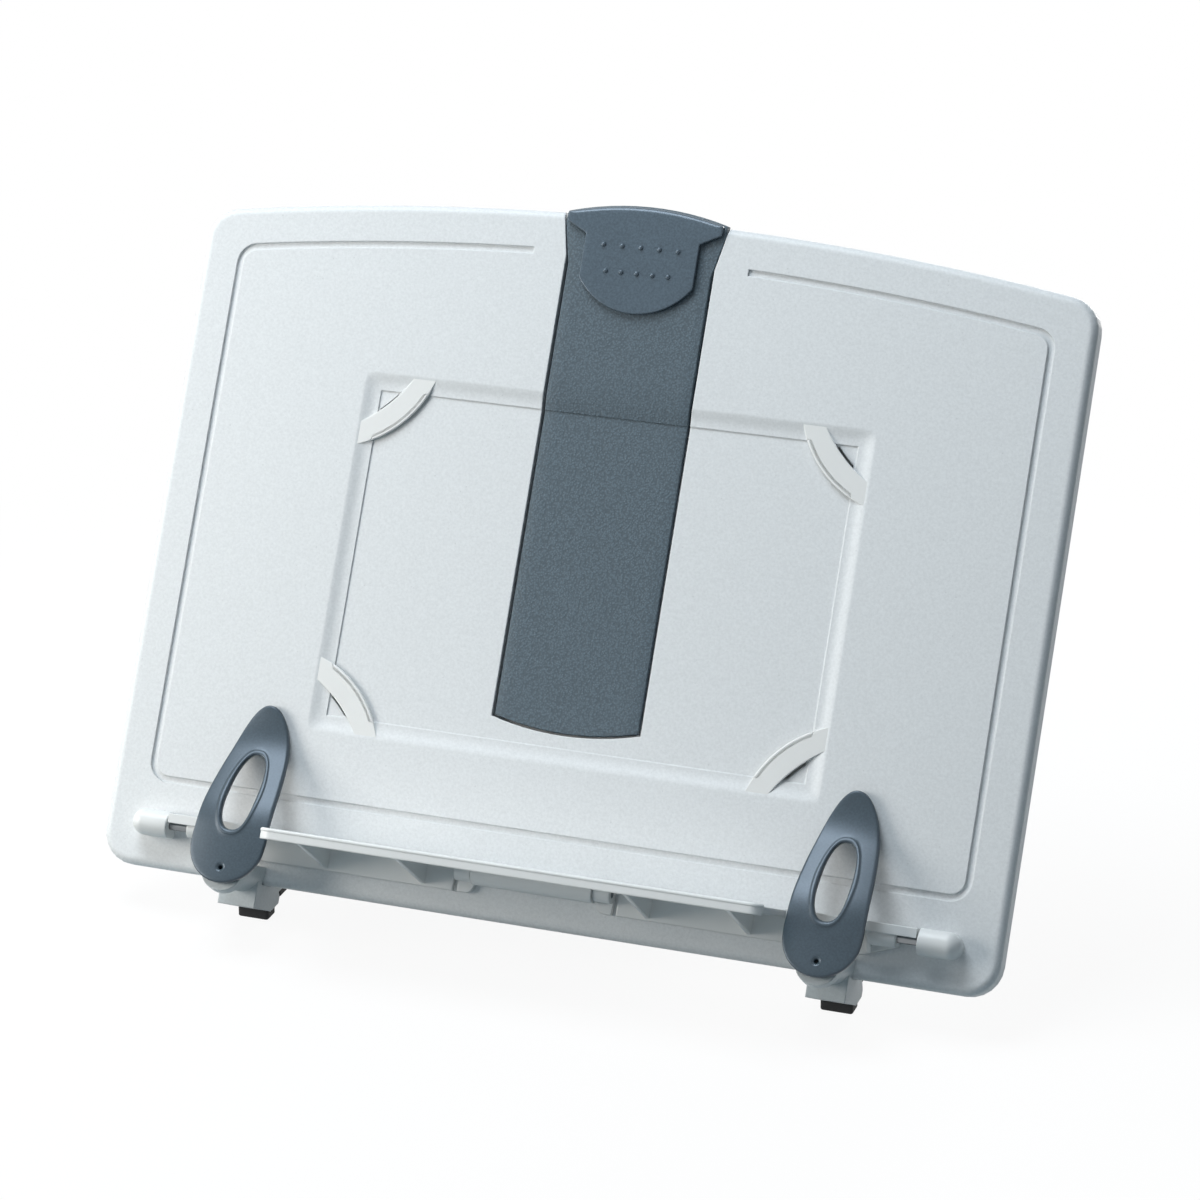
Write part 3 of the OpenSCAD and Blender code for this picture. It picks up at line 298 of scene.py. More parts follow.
class Term:
    """A shader socket that Python expressions can use; each operator adds a Math node."""

    def __init__(self, tree, socket=None):
        self.tree = tree
        self.socket = socket

    def node(self, kind, settings=None, inputs=None, out=0):
        """Add a node: its settings first, then the values or links of its sockets. Gives one output."""
        made = self.tree.nodes.new(kind)
        for key, value in (settings or {}).items():
            setattr(made, key, value)
        for key, value in (inputs or {}).items():
            if isinstance(value, Term):
                self.tree.links.new(value.socket, made.inputs[key])
            else:
                made.inputs[key].default_value = value
        return Term(self.tree, made.outputs[out])

    def maths(self, operation, *values):
        return self.node("ShaderNodeMath", {"operation": operation}, dict(enumerate(values)))

    def __add__(self, other):
        return self.maths("ADD", self, other)

    def __radd__(self, other):
        return self.maths("ADD", other, self)

    def __sub__(self, other):
        return self.maths("SUBTRACT", self, other)

    def __rsub__(self, other):
        return self.maths("SUBTRACT", other, self)

    def __mul__(self, other):
        return self.maths("MULTIPLY", self, other)

    def __rmul__(self, other):
        return self.maths("MULTIPLY", other, self)

    def __truediv__(self, other):
        return self.maths("DIVIDE", self, other)

    def __abs__(self):
        return self.maths("ABSOLUTE", self)

    def least(self, other, reach=0.0):
        """The smaller of two values, with a soft change over a reach."""
        return self.maths("SMOOTH_MIN", self, other, reach)

    def clamped(self):
        return self.node("ShaderNodeClamp", None, {"Value": self})

    def noise(self, scale, detail=2.0, roughness=0.5):
        """Soft noise from 0 to 1 on the coordinates that this socket carries."""
        values = {"Vector": self, "Scale": scale, "Detail": detail, "Roughness": roughness}
        return self.node("ShaderNodeTexNoise", None, values, "Fac")

    def cells(self, scale, settings=None, **values):
        """Distance to the nearest of scattered points."""
        inputs = {"Vector": self, "Scale": scale, **values}
        return self.node("ShaderNodeTexVoronoi", settings, inputs, "Distance")

    def blend(self, first, second):
        """Mix two colours, with this socket as the share of the second."""
        return self.node("ShaderNodeMix", {"data_type": "RGBA"}, {0: self, 6: first, 7: second}, 2)

    def shades(self, colour, low, high):
        """Mix two shades of a colour, with this socket as the share of the second."""
        return self.blend(dyed(colour, low), dyed(colour, high))

    def bump(self, distance, strength, normal=None):
        """A normal tilted by this socket as a height."""
        values = {"Height": self, "Distance": distance, "Strength": strength}
        if normal is not None:
            values["Normal"] = normal
        return self.node("ShaderNodeBump", None, values)


def dyed(colour, share):
    """A colour scaled towards black or white light, with full cover."""
    return tuple(min(1.0, share * x) for x in colour) + (1.0,)


def bare_tree(holder):
    """The emptied node tree of a material or a world."""
    holder.use_nodes = True
    holder.node_tree.nodes.clear()
    return holder.node_tree


def close(tree, socket, kind="Material"):
    """Link a shader to a new output of a material or a world."""
    output = tree.nodes.new("ShaderNodeOutput" + kind)
    tree.links.new(socket, output.inputs["Surface"])


def finish(name, rough, ior=1.46, metal=0.0):
    """A material with a principled shader whose plain values are set, its shader and its coordinates."""
    material = bpy.data.materials.new(name)
    tree = bare_tree(material)
    shader = tree.nodes.new("ShaderNodeBsdfPrincipled")
    close(tree, shader.outputs["BSDF"])
    shader.inputs["Roughness"].default_value = rough
    shader.inputs["IOR"].default_value = ior
    shader.inputs["Metallic"].default_value = metal
    place = Term(tree).node("ShaderNodeTexCoord", None, None, "Object")
    return material, shader, place


def feed(shader, place, **values):
    """Link shader sockets, named with _ for a space, to expressions."""
    for key, value in values.items():
        place.tree.links.new(value.socket, shader.inputs[key.replace("_", " ")])


def soft_edge(place, radius):
    """A normal that rounds sharp edges by a radius in metres."""
    return place.node("ShaderNodeBevel", {"samples": 6}, {"Radius": radius})


def recess_hollow(place):
    """A height in millimetres that makes the recess border's flat bevel a soft hollow. The distance inside
    the border is the smaller of those to its sides and ends. The bevel's own fall goes with that distance,
    and the hollow's fall is s squared times 6 less 8 s plus 3 s squared, which is steep near the border and
    level at the floor."""
    # How far the hollow reaches past the border, and over what reach it rounds the corners.
    spread, soft = 1.2, 6.0
    middle = float(ORIGIN @ UP) / MM + (RECESS_LOW + RECESS_HIGH) / 2.0
    across = place.node("ShaderNodeSeparateXYZ", None, {0: place}, "X")
    up = place.node("ShaderNodeVectorMath", {"operation": "DOT_PRODUCT"}, {0: place, 1: tuple(UP)}, "Value")
    side = RECESS_HALF - abs(across / MM)
    ends = (RECESS_HIGH - RECESS_LOW) / 2.0 - abs(up / MM - middle)
    flat = (side.least(ends) / RECESS_BEVEL).clamped()
    share = ((side.least(ends, soft) + spread) / (RECESS_BEVEL + spread)).clamped()
    return RECESS_FALL * (flat - share * share * (6.0 - 8.0 * share + 3.0 * share * share))


def textured_white(name, colour, edge, specks=0.3, rough=0.5, hollow=False):
    """Spark-textured white plastic: a fine grain, faint cloudy tone and tiny scattered dark specks."""
    material, shader, place = finish(name, rough)
    grain = place.noise(950.0, 4.0, 0.65)
    cloud = place.noise(16.0, 2.0)
    dots = (1.6 - 14.0 * place.cells(330.0)).clamped() * (place.noise(210.0) * 6.0 - 2.9).clamped()
    ground = cloud.shades(colour, 0.985, 1.015)
    fine = (grain * 3.0 - 1.0).clamped()
    grained = fine.shades(colour, 0.89, 1.06)
    mixed = place.node("ShaderNodeMix", {"data_type": "RGBA"}, {0: 0.6, 6: ground, 7: grained}, 2)
    feed(shader, place, Base_Color=(dots * specks).blend(mixed, dyed(colour, 0.45)))
    feed(shader, place, Roughness=rough - 0.08 + 0.16 * grain)
    normal = soft_edge(place, edge)
    if hollow:
        normal = recess_hollow(place).bump(MM, 1.0, normal)
    feed(shader, place, Normal=grain.bump(0.0001, 0.6, normal))
    return material


def smooth_white(name, colour, edge=None, rough=0.36):
    """Plain moulded white plastic: a faint flow pattern in tone and gloss, and a very slight ripple."""
    material, shader, place = finish(name, rough)
    flow = place.noise(45.0, 3.0)
    fine = place.noise(900.0, 2.0)
    feed(shader, place, Base_Color=flow.shades(colour, 0.97, 1.02))
    feed(shader, place, Roughness=rough - 0.05 + 0.1 * flow)
    normal = None if edge is None else soft_edge(place, edge)
    feed(shader, place, Normal=fine.bump(0.00002, 0.35, normal))
    return material


def pebbled_slate(name, colour):
    """Pebble-grained dark plastic: rounded cells pressed into the skin, with painted shade between them so
    their tops are paler.
    """
    material, shader, place = finish(name, 0.5, 1.4)
    cells = place.cells(1350.0, {"feature": "SMOOTH_F1"}, Smoothness=0.6)
    fine = place.noise(2600.0, 2.0)
    cloud = place.noise(30.0, 2.0)
    height = 1 - cells + 0.35 * fine
    tops = ((1.0 - cells) * 1.9 - 0.75).clamped()
    # Painted shade: the base colour is darker between the cells and paler on their tops.
    painted_shade = tops.shades(colour, 0.64, 1.22)
    feed(shader, place, Base_Color=(cloud * 0.3).blend(painted_shade, dyed(colour, 0.94)))
    feed(shader, place, Roughness=0.52 - 0.12 * tops)
    feed(shader, place, Normal=height.bump(0.00015, 0.8))
    return material


def satin_slate(name, colour, rough, grain=0.4):
    """Satin dark plastic: a fine grain in tone and height, a bluish sheen and faint handling marks."""
    material, shader, place = finish(name, rough, 1.58)
    shader.inputs["Specular Tint"].default_value = (0.76, 0.86, 1.0, 1.0)
    fine = place.noise(1300.0, 3.0, 0.6)
    marks = place.noise(60.0, 4.0, 0.6)
    mottle = 0.3 * marks + grain * (fine * 4.0 - 1.5).clamped() + 0.35 - 0.5 * grain
    feed(shader, place, Base_Color=mottle.clamped().shades(colour, 0.7, 1.3))
    feed(shader, place, Roughness=rough - 0.06 + 0.08 * marks + 0.05 * fine)
    feed(shader, place, Normal=fine.bump(0.00004, grain))
    return material


def black_rubber(name, colour):
    """Matt rubber: a dull skin with a fine irregular surface and paler dust on it."""
    material, shader, place = finish(name, 0.8)
    fine = place.noise(1400.0, 4.0, 0.65)
    dust = place.noise(240.0, 3.0)
    feed(shader, place, Base_Color=(dust * 0.8).shades(colour, 0.8, 2.2))
    feed(shader, place, Roughness=0.7 + 0.2 * fine)
    feed(shader, place, Normal=fine.bump(0.00008, 0.6, soft_edge(place, 0.0004)))
    return material


def bright_steel(name, colour):
    """Turned steel: fine streaks across the board in tone and gloss."""
    material, shader, place = finish(name, 0.3, metal=1.0)
    drawn = place.node("ShaderNodeMapping", None, {"Vector": place, "Scale": (60.0, 2400.0, 2400.0)})
    streak = drawn.noise(1.0, 3.0)
    feed(shader, place, Base_Color=streak.shades(colour, 0.86, 1.06))
    feed(shader, place, Roughness=0.24 + 0.14 * streak)
    feed(shader, place, Normal=streak.bump(0.00001, 0.4, soft_edge(place, 0.0002)))
    return material


def on_board(grid):
    """World points in metres of board points in millimetres: across, up the board and out of its face."""
    return ORIGIN + MM * (grid[..., :1] * ACROSS + grid[..., 1:2] * UP + grid[..., 2:] * OUT)


def easing(x):
    """A smooth step: 0 below 0, 1 above 1, and 3 x squared less 2 x cubed between."""
    x = np.clip(x, 0.0, 1.0)
    return x * x * (3.0 - 2.0 * x)


def bow_radius(half, bow):
    """Radius of an arc from its half chord and its bow."""
    return (half * half + bow * bow) / (2.0 * bow)


def bow_fall(radius, across):
    """Fall of an arc from its top: the radius less the root of its square less the place's square."""
    return radius - np.sqrt(radius ** 2 - across ** 2)


def quarter(count):
    """Angles of a quarter turn."""
    return np.linspace(0.0, np.pi / 2.0, count)


def whole_turn(count):
    """Angles of a whole turn without its end."""
    return np.linspace(0.0, 2.0 * np.pi, count, endpoint=False)


def skin(grid, wrap_rows=False, start=None, end=None):
    """Faces over a grid of points whose columns close on themselves: each face joins two neighbours along
    both parameters. An end row is closed by one flat face, or by a strip of faces that zips its halves
    together."""
    rows, cols = grid.shape[:2]
    index = np.arange(rows * cols).reshape(rows, cols)
    low = index if wrap_rows else index[:-1]
    high = np.roll(index, -1, 0) if wrap_rows else index[1:]
    faces = np.stack((low, np.roll(low, -1, 1), np.roll(high, -1, 1), high), -1).reshape(-1, 4).tolist()
    for kind, ring in ((start, index[0][::-1]), (end, index[-1])):
        if kind == "flat":
            faces.append(ring.tolist())
        if kind == "zip":
            near = ring[: cols // 2]
            far = ring[::-1][: cols // 2]
            faces += np.stack((near[:-1], near[1:], far[1:], far[:-1]), -1).tolist()
    return outward(grid.reshape(-1, 3), faces)


def capped(grid):
    """A skin over board points whose end rows are closed by flat faces."""
    return skin(on_board(grid), start="flat", end="flat")


def outward(points, faces):
    """Faces turned outwards: the sum of the fan triangles' triple products is six times the volume."""
    local = points - points.mean(0)
    volume = 0.0
    for size in {len(face) for face in faces}:
        rings = np.array([face for face in faces if len(face) == size])
        corner = local[rings]
        fan = np.cross(corner[:, 1:-1], corner[:, 2:])
        volume += np.einsum("ik,ijk->", corner[:, 0], fan)
    if volume < 0:
        faces = [face[::-1] for face in faces]
    return points, faces


def add(name, data):
    """A new object in the scene, at the origin."""
    made = bpy.data.objects.new(name, data)
    bpy.context.scene.collection.objects.link(made)
    return made


def piece(name, parts, material, sharp=SHARP):
    """One mesh object at the origin from closed parts, smooth but for edges sharper than an angle."""
    starts = np.cumsum([0] + [len(points) for points, _ in parts])
    points = np.concatenate([points for points, _ in parts])
    faces = [[i + int(first) for i in face] for first, (_, group) in zip(starts, parts) for face in group]
    mesh = bpy.data.meshes.new(name)
    mesh.from_pydata(points.tolist(), [], faces)
    mesh.polygons.foreach_set("use_smooth", np.ones(len(faces), bool))
    mesh.set_sharp_from_angle(angle=np.radians(sharp))
    mesh.materials.append(material)
    return add(name, mesh)


def settle(made, body, slot, *nodes):
    """Let a piece ride on a body and stand for CAD nodes, if any are given, which are hidden; the slot is
    not used.
    """
    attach(made, body)
    if nodes:
        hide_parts(*nodes)


def cut(made, parts):
    """Take closed parts out of a piece."""
    tool = piece(made.name + "_tool", parts, made.data.materials[0])
    change = made.modifiers.new("cut", "BOOLEAN")
    change.object = tool
    change.solver = "EXACT"
    graph = bpy.context.evaluated_depsgraph_get()
    mesh = bpy.data.meshes.new_from_object(made.evaluated_get(graph))
    made.modifiers.clear()
    made.data = mesh
    mesh.set_sharp_from_angle(angle=np.radians(SHARP))
    bpy.data.objects.remove(tool)


def dress(material, *nodes):
    """Give CAD nodes a finish."""
    for name in nodes:
        slots = frame["nodes"][name].data.materials
        slots.clear()
        slots.append(material)


def turned(profile, middle, side, other, along, count=48):
    """A turned shape: each profile point's radius is carried round the axis and its height goes along it."""
    angle = whole_turn(count)
    round_about = np.cos(angle)[:, None] * side + np.sin(angle)[:, None] * other
    profile = np.asarray(profile, float)
    return middle + profile[:, None, :1] * round_about + profile[:, None, 1:] * along


def softened(outline, step, reach):
    """A closed outline sampled at equal steps, with rounded corners: each point is the mean of its
    neighbours within a reach."""
    ring = np.vstack((outline, outline[:1]))
    run = np.concatenate(((0.0,), np.cumsum(np.hypot(*np.diff(ring, axis=0).T))))
    at = np.linspace(0.0, run[-1], int(run[-1] / step), endpoint=False)
    dense = np.stack((np.interp(at, run, ring[:, 0]), np.interp(at, run, ring[:, 1])), -1)
    span = max(1, int(reach / step))
    return np.mean([np.roll(dense, k, 0) for k in range(-span, span + 1)], 0)


def inward(ring):
    """Unit vectors across a closed outline, towards its inside: the tangent turned by a right angle."""
    tangent = np.roll(ring, -1, 0) - np.roll(ring, 1, 0)
    across = np.stack((-tangent[:, 1], tangent[:, 0]), -1)
    across /= np.linalg.norm(across, axis=1)[:, None]
    area = np.sum(ring[:, 0] * np.roll(ring[:, 1], -1) - ring[:, 1] * np.roll(ring[:, 0], -1))
    return across if area > 0 else -across


def slab(ring, low, high, low_edge, high_edge, crown=0.0):
    """A slab over an outline: its section climbs the wall and follows quarter circles inwards at both edges,
    and the top rises to a crown as the outline shrinks to its middle. The bottom and the edge radii may
    change along the outline."""
    across = inward(ring)
    under = np.broadcast_to(np.asarray(low_edge, float), len(ring))
    over = np.broadcast_to(np.asarray(high_edge, float), len(ring))
    angle = quarter(7)[:, None]
    inset = np.vstack((under * (1.0 - np.sin(angle)), over * (1.0 - np.cos(angle))))
    height = np.vstack((low + under * (1.0 - np.cos(angle)), high - over * (1.0 - np.sin(angle))))
    wall = np.concatenate((ring + inset[..., None] * across, height[..., None]), -1)
    rim = ring + over[:, None] * across
    share = np.array((0.92, 0.8, 0.6, 0.4, 0.2, 0.06))[:, None, None]
    middle = rim.mean(0)
    rise = high + crown * (1 - share ** 2) + 0 * share * rim[..., :1]
    return np.concatenate((wall, np.concatenate((middle + share * (rim - middle), rise), -1)))


def strap(size, side, end):
    """A strap across a recess corner. The plan blends between two arcs round the corner, from the outer to
    the inner, and the section is a flat top with round edges, a groove and a round bead along the inner edge
    where the strap is over the floor, and a flat underside that thins out on the bevel."""
    reach, start, bulge, hollow = (x / MM for x in (size.reach, size.start, size.bulge, size.hollow))
    along = np.linspace(0.0, 1.0, 81)[:, None]
    arcs = []
    for chord, bow in ((start, hollow), (reach, bulge)):
        radius = bow_radius(chord / np.sqrt(2.0), bow)
        centre = chord / 2.0 - (radius - bow) / np.sqrt(2.0)
        first = np.arctan2(-centre, chord - centre)
        angle = first + along * (np.pi / 2.0 - 2.0 * first)
        arcs.append(centre + radius * np.concatenate((np.cos(angle), np.sin(angle)), 1))
    span = arcs[1] - arcs[0]
    unit = span / np.linalg.norm(span, axis=1)[:, None]
    # Where the bead starts and over what run, the groove's width, and the strap's thin ends.
    bead_from, bead_grow, wall, thin = 5.0, 0.9, 0.35, 0.03
    inner = easing((arcs[1].min(1) - bead_from) / bead_grow)[:, None]
    turn = quarter(5)
    edge, step, sunk = size.edge / MM, size.bead / MM, size.groove / MM
    thick = size.thickness / MM
    one = np.ones(5)
    nil = np.zeros(5)
    none = np.zeros(13)
    bead = np.linspace(0.0, np.pi, 11)
    rim = wall - step + (step - wall) * 0.5 * (1.0 - np.cos(bead))
    share = np.concatenate((nil, np.linspace(0.1, 0.9, 5), one, none + 1.0))
    fixed = np.concatenate((edge * (1.0 - np.cos(turn)), nil, edge * (np.sin(turn) - 1.0), none))
    moved = np.concatenate((nil, nil, -step * one, (-step, wall - step), rim))
    drop = np.concatenate((edge * (1.0 - np.sin(turn)), nil, edge * (1.0 - np.cos(turn)), none))
    lower = np.concatenate((nil, nil, nil, (sunk, sunk), sunk - sunk * np.sqrt(np.sin(bead))))
    flush = np.concatenate((nil, nil, nil, none + edge))
    shift = fixed + inner * moved
    fall = drop + inner * lower + (1.0 - inner) * flush
    count = len(share)
    shift = np.concatenate((shift, np.zeros_like(shift)), 1)
    share = np.concatenate((share, share[::-1]))
    plan = arcs[0][:, None] + share[:, None] * span[:, None] + shift[..., None] * unit[:, None]
    depth = np.clip(plan.min(-1) * RECESS_FALL / RECESS_BEVEL, thin, thick)
    fit = np.clip(depth[:, :count] / thick, 0.0, 1.0)
    height = np.concatenate((-fall * fit, -depth[:, count:]), 1)
    across = side * (RECESS_HALF - plan[..., 0])
    up = (RECESS_HIGH - plan[..., 1]) if end > 0 else (RECESS_LOW + plan[..., 1])
    return skin(on_board(np.stack((across, up, height), -1)), start="zip", end="zip")


def pull_strip(size):
    """The pull-up strip. Rows climb the board; the end rows follow the bows of the lower end and the head.
    Each row is a ring: the face from edge to edge with round corners, and back along the underside. The face
    follows the recess floor, its step and its slope, and rolls over at the head's top."""
    roll = size.head_roll / MM
    edge = size.edge / MM
    half = size.half_width / MM
    wide = half + size.flare / MM
    step = RECESS_HIGH - RECESS_BEVEL
    below = step - 0.02
    # Rows between which the bows fade.
    foot_rows, head_rows = (76.0, 120.0), (200.0, 252.0)
    # The underside's change past the board's top: where it starts, over what run, and the least depth.
    clear, ramp, thin = 0.4, 0.5, 0.2
    fall = roll - roll * np.sin(quarter(9))
    foot = edge * (1.0 - np.sin(quarter(5)))
    low_rows = (76.0, 90.0, 105.0, 120.0, 150.0, 180.0, below, step, 188.0, RECESS_HIGH)
    high_rows = (200.0, 215.0, 230.0, FLARE_LOW, 247.0, 251.0, 255.0, FLARE_HIGH)
    up = np.concatenate((STRIP_BOTTOM + edge - foot, low_rows, high_rows, STRIP_TOP - fall))
    top_gap = np.clip(STRIP_TOP - up, 0.0, roll)
    low_gap = np.clip(up - STRIP_BOTTOM, 0.0, edge)
    slope = -STRIP_SINK - RECESS_FALL
    face = np.interp(up, (below, step, RECESS_HIGH), (slope - FLOOR_STEP, slope, -STRIP_SINK))
    face -= roll - np.sqrt(np.maximum(roll ** 2 - (roll - top_gap) ** 2, 0.0))
    face -= edge - np.sqrt(np.maximum(edge ** 2 - (edge - low_gap) ** 2, 0.0))
    reach = np.interp(up, (FLARE_LOW, FLARE_HIGH), (half, wide))[:, None]
    turn = quarter(5)
    flat = np.linspace(-1.0, 1.0, 13)[1:-1]
    pull = np.concatenate((-np.sin(turn[::-1]), 0.0 * flat, np.sin(turn)))
    drop = np.concatenate((1.0 - np.cos(turn[::-1]), 0.0 * flat, 1.0 - np.cos(turn)))
    share = np.concatenate((-np.ones(5), flat, np.ones(5)))
    across = share * (reach - edge) + edge * pull
    near_foot = np.interp(up, foot_rows, (1.0, 0.0))[:, None]
    near_head = np.interp(up, head_rows, (0.0, 1.0))[:, None]
    lifted = near_foot * bow_fall(bow_radius(half, size.bottom_bow / MM), across)
    lowered = near_head * bow_fall(bow_radius(wide, size.head_bow / MM), across)
    climb = up[:, None] + lifted - lowered
    front = np.stack((across, climb, face[:, None] - edge * drop), -1)
    under = -STRIP_BACK - HEAD_BACK * easing((climb - BOARD_H - clear) / ramp)
    back = np.stack((across, climb, np.minimum(under, front[..., 2] - thin)), -1)[:, ::-1]
    return skin(on_board(np.concatenate((front, back), 1)), start="zip", end="zip")


def grip_shield(size):
    """The grip shield: a slab over a shield outline, whose edge is rounder along the head's top and whose
    wall is undercut where it stands on the strip's flat face."""
    # The outline: margin to the head's edge, the lower bow, and depths below the board's top.
    margin, low_bow, tip, waist, shoulder = 1.0, 11.4, 35.8, 8.0, 4.0
    # Rows from which wall and edge change, over what run, the edge's growth, and the crown.
    head_row, roll_row, ramp, roll, crown = 254.0, 257.0, 4.0, 1.4, 0.12
    # The wall: its depth and its undercut, each with its change at the head.
    sink, head_sink, undercut, head_cut = 0.17, 0.53, 0.9, 0.85
    half = size.grip_half / MM
    wide = (size.half_width + size.flare) / MM - margin
    low_r = bow_radius(half, low_bow)
    spread = np.arcsin(half / low_r)
    low = np.linspace(-spread, spread, 33)
    high_r = bow_radius(wide + margin, size.head_bow / MM)
    lean = np.arcsin(wide / high_r)
    high = np.linspace(lean, -lean, 33)
    bottom = BOARD_H - tip + low_r
    top = STRIP_TOP - margin - high_r
    outline = np.concatenate((
        np.stack((low_r * np.sin(low), bottom - low_r * np.cos(low)), -1),
        ((half, BOARD_H - waist), (wide, BOARD_H - shoulder)),
        np.stack((high_r * np.sin(high), top + high_r * np.cos(high)), -1),
        ((-wide, BOARD_H - shoulder), (-half, BOARD_H - waist)),
    ))
    ring = softened(outline, 0.3, 0.4)
    edge = size.grip_edge / MM + roll * easing((ring[:, 1] - roll_row) / ramp)
    head = easing((ring[:, 1] - head_row) / ramp)
    foot = -sink - head_sink * head
    return capped(slab(ring, foot, size.grip_rise / MM, undercut - head_cut * head, edge, crown))


def grip_bumps(size):
    """The bumps on the grip: each is a half ball on a short wall, as a turned profile."""
    wall, tip = 0.4, 0.03
    radius = size.bump / MM
    turn = quarter(8)[:-1]
    ball = np.stack((radius * np.cos(turn), radius * np.sin(turn)), -1)
    profile = np.vstack(((radius, -wall), ball, (tip, radius)))
    parts = []
    for row, pitch in BUMP_ROWS:
        for place in np.arange(-2, 3) * pitch:
            middle = np.array((place, BOARD_H - row, size.grip_rise / MM))
            parts.append(capped(turned(profile, middle, *np.eye(3), 28)))
    return parts


def end_hood(size, side):
    """An end hood: an arch section, straight-sided below and half round above, carried along the hinge line.
    Its half width grows round the inner edge, stays, and shrinks round the dome."""
    radius = size.radius / MM
    edge = size.edge / MM
    straight = size.reach / MM - radius
    turn = quarter(6)
    dome_end = np.radians(88.5)
    dome = np.linspace(0.0, dome_end, 20)
    run = np.concatenate((edge * (1.0 - np.cos(turn)), (straight / 2.0,), straight + radius * np.sin(dome)))
    wide = np.concatenate((radius - edge + edge * np.sin(turn), (radius,), radius * np.cos(dome)))[:, None]
    angle = np.linspace(0.0, np.pi, 33)
    v = np.concatenate((wide, wide * np.cos(angle), -wide), 1)
    w = np.concatenate((0.0 * wide, LEDGE_HINGE[2] + wide * np.sin(angle), 0.0 * wide), 1)
    u = np.broadcast_to(side * (HOOD_U + run)[:, None], v.shape)
    return capped(np.stack((u, LEDGE_HINGE[1] + v, w), -1))


def sloped(v, w):
    """Heights and depths on the ledge turned about the hinge line to the ledge's slope."""
    up, out = v - LEDGE_HINGE[1], w - LEDGE_HINGE[2]
    return (LEDGE_HINGE[1] + up * np.cos(LEDGE_TILT) - out * np.sin(LEDGE_TILT),
            LEDGE_HINGE[2] + out * np.cos(LEDGE_TILT) + up * np.sin(LEDGE_TILT))


def lip_bead(size):
    """The bead along the lip's top edge: a circle is carried along the lip's front and round its corners,
    and shrinks to half balls at the ends. One half of the path is worked out and mirrored."""
    # Share of the radius that lies inside the lip, the first angle, and the share left at the blunt ends.
    sunk, first, blunt = 0.68, np.radians(30.0), 0.05
    radius = size.bead / MM
    inset = sunk * radius
    turn = np.linspace(first, np.pi / 2.0, 13)
    cap = quarter(6)[:0:-1]
    angle = np.concatenate((0.0 * cap + first, turn))
    scale = np.concatenate((np.maximum(np.cos(cap), blunt), 0.0 * turn + 1.0))
    push = np.concatenate((radius * np.sin(cap), 0.0 * turn))[:, None]
    normal = np.stack((np.cos(angle), np.sin(angle)), -1)
    along = np.stack((np.sin(angle), -np.cos(angle)), -1)
    centre = np.array((LEDGE_END - LIP_CORNER, LIP_FRONT - LIP_CORNER))
    path = centre + (LIP_CORNER - inset) * normal + push * along
    mirror = np.array((-1.0, 1.0))
    path = np.vstack((path, path[::-1] * mirror))
    normal = np.vstack((normal, normal[::-1] * mirror))
    scale = radius * np.concatenate((scale, scale[::-1]))[:, None]
    around = whole_turn(20)
    plan = path[:, None] + (scale * np.cos(around))[..., None] * normal[:, None]
    v, w = sloped(LIP_TOP - inset + scale * np.sin(around), plan[..., 1])
    return capped(np.stack((plan[..., 0], v, w), -1))


def end_bar(size, side):
    """An end bar of the ledge: a section with a sloping back, its corners rounded, is turned about the hinge
    line to the ledge's slope and carried along the bar."""
    high = BAR_LOW + size.bar_height / MM
    front = ((BAR_LOW, BAR_HEEL), (BAR_LOW, BAR_FRONT), (high, BAR_FRONT))
    section = softened(np.array((*front, (high, BAR_SHOULDER), BAR_BACK)), 0.08, size.bar_edge / MM)
    v, w = sloped(*section.T)
    run = np.linspace(LEDGE_END, HOOD_U - BAR_GAP, 9)[:, None]
    return capped(np.stack((side * run + 0.0 * v, v + 0.0 * run, w + 0.0 * run), -1))


def hood_bore(side):
    """The pin hole of an end hood, as a turned shape along the hinge line."""
    before, depth = 1.0, 7.0
    profile = ((HOOD_BORE, side * (HOOD_U - before)), (HOOD_BORE, side * (HOOD_U + depth)))
    across, up, out = np.eye(3)
    return capped(turned(profile, LEDGE_HINGE, up, out, across))


def clip_face():
    """The front face of a clip seen from the side: its angle from the board changes along its length in
    straight steps, and its place is the running sum of the cosine and sine of that angle."""
    run = np.linspace(0.0, CLIP_RUN[-1], 663)
    angle = np.radians(np.interp(run, CLIP_RUN, CLIP_ANGLES))
    step = run[1]
    up = CLIP_V + np.concatenate(((0.0,), np.cumsum(step * np.cos(angle[1:]))))
    out = CLIP_Z - np.concatenate(((0.0,), np.cumsum(step * np.sin(angle[1:]))))
    return up, out, angle


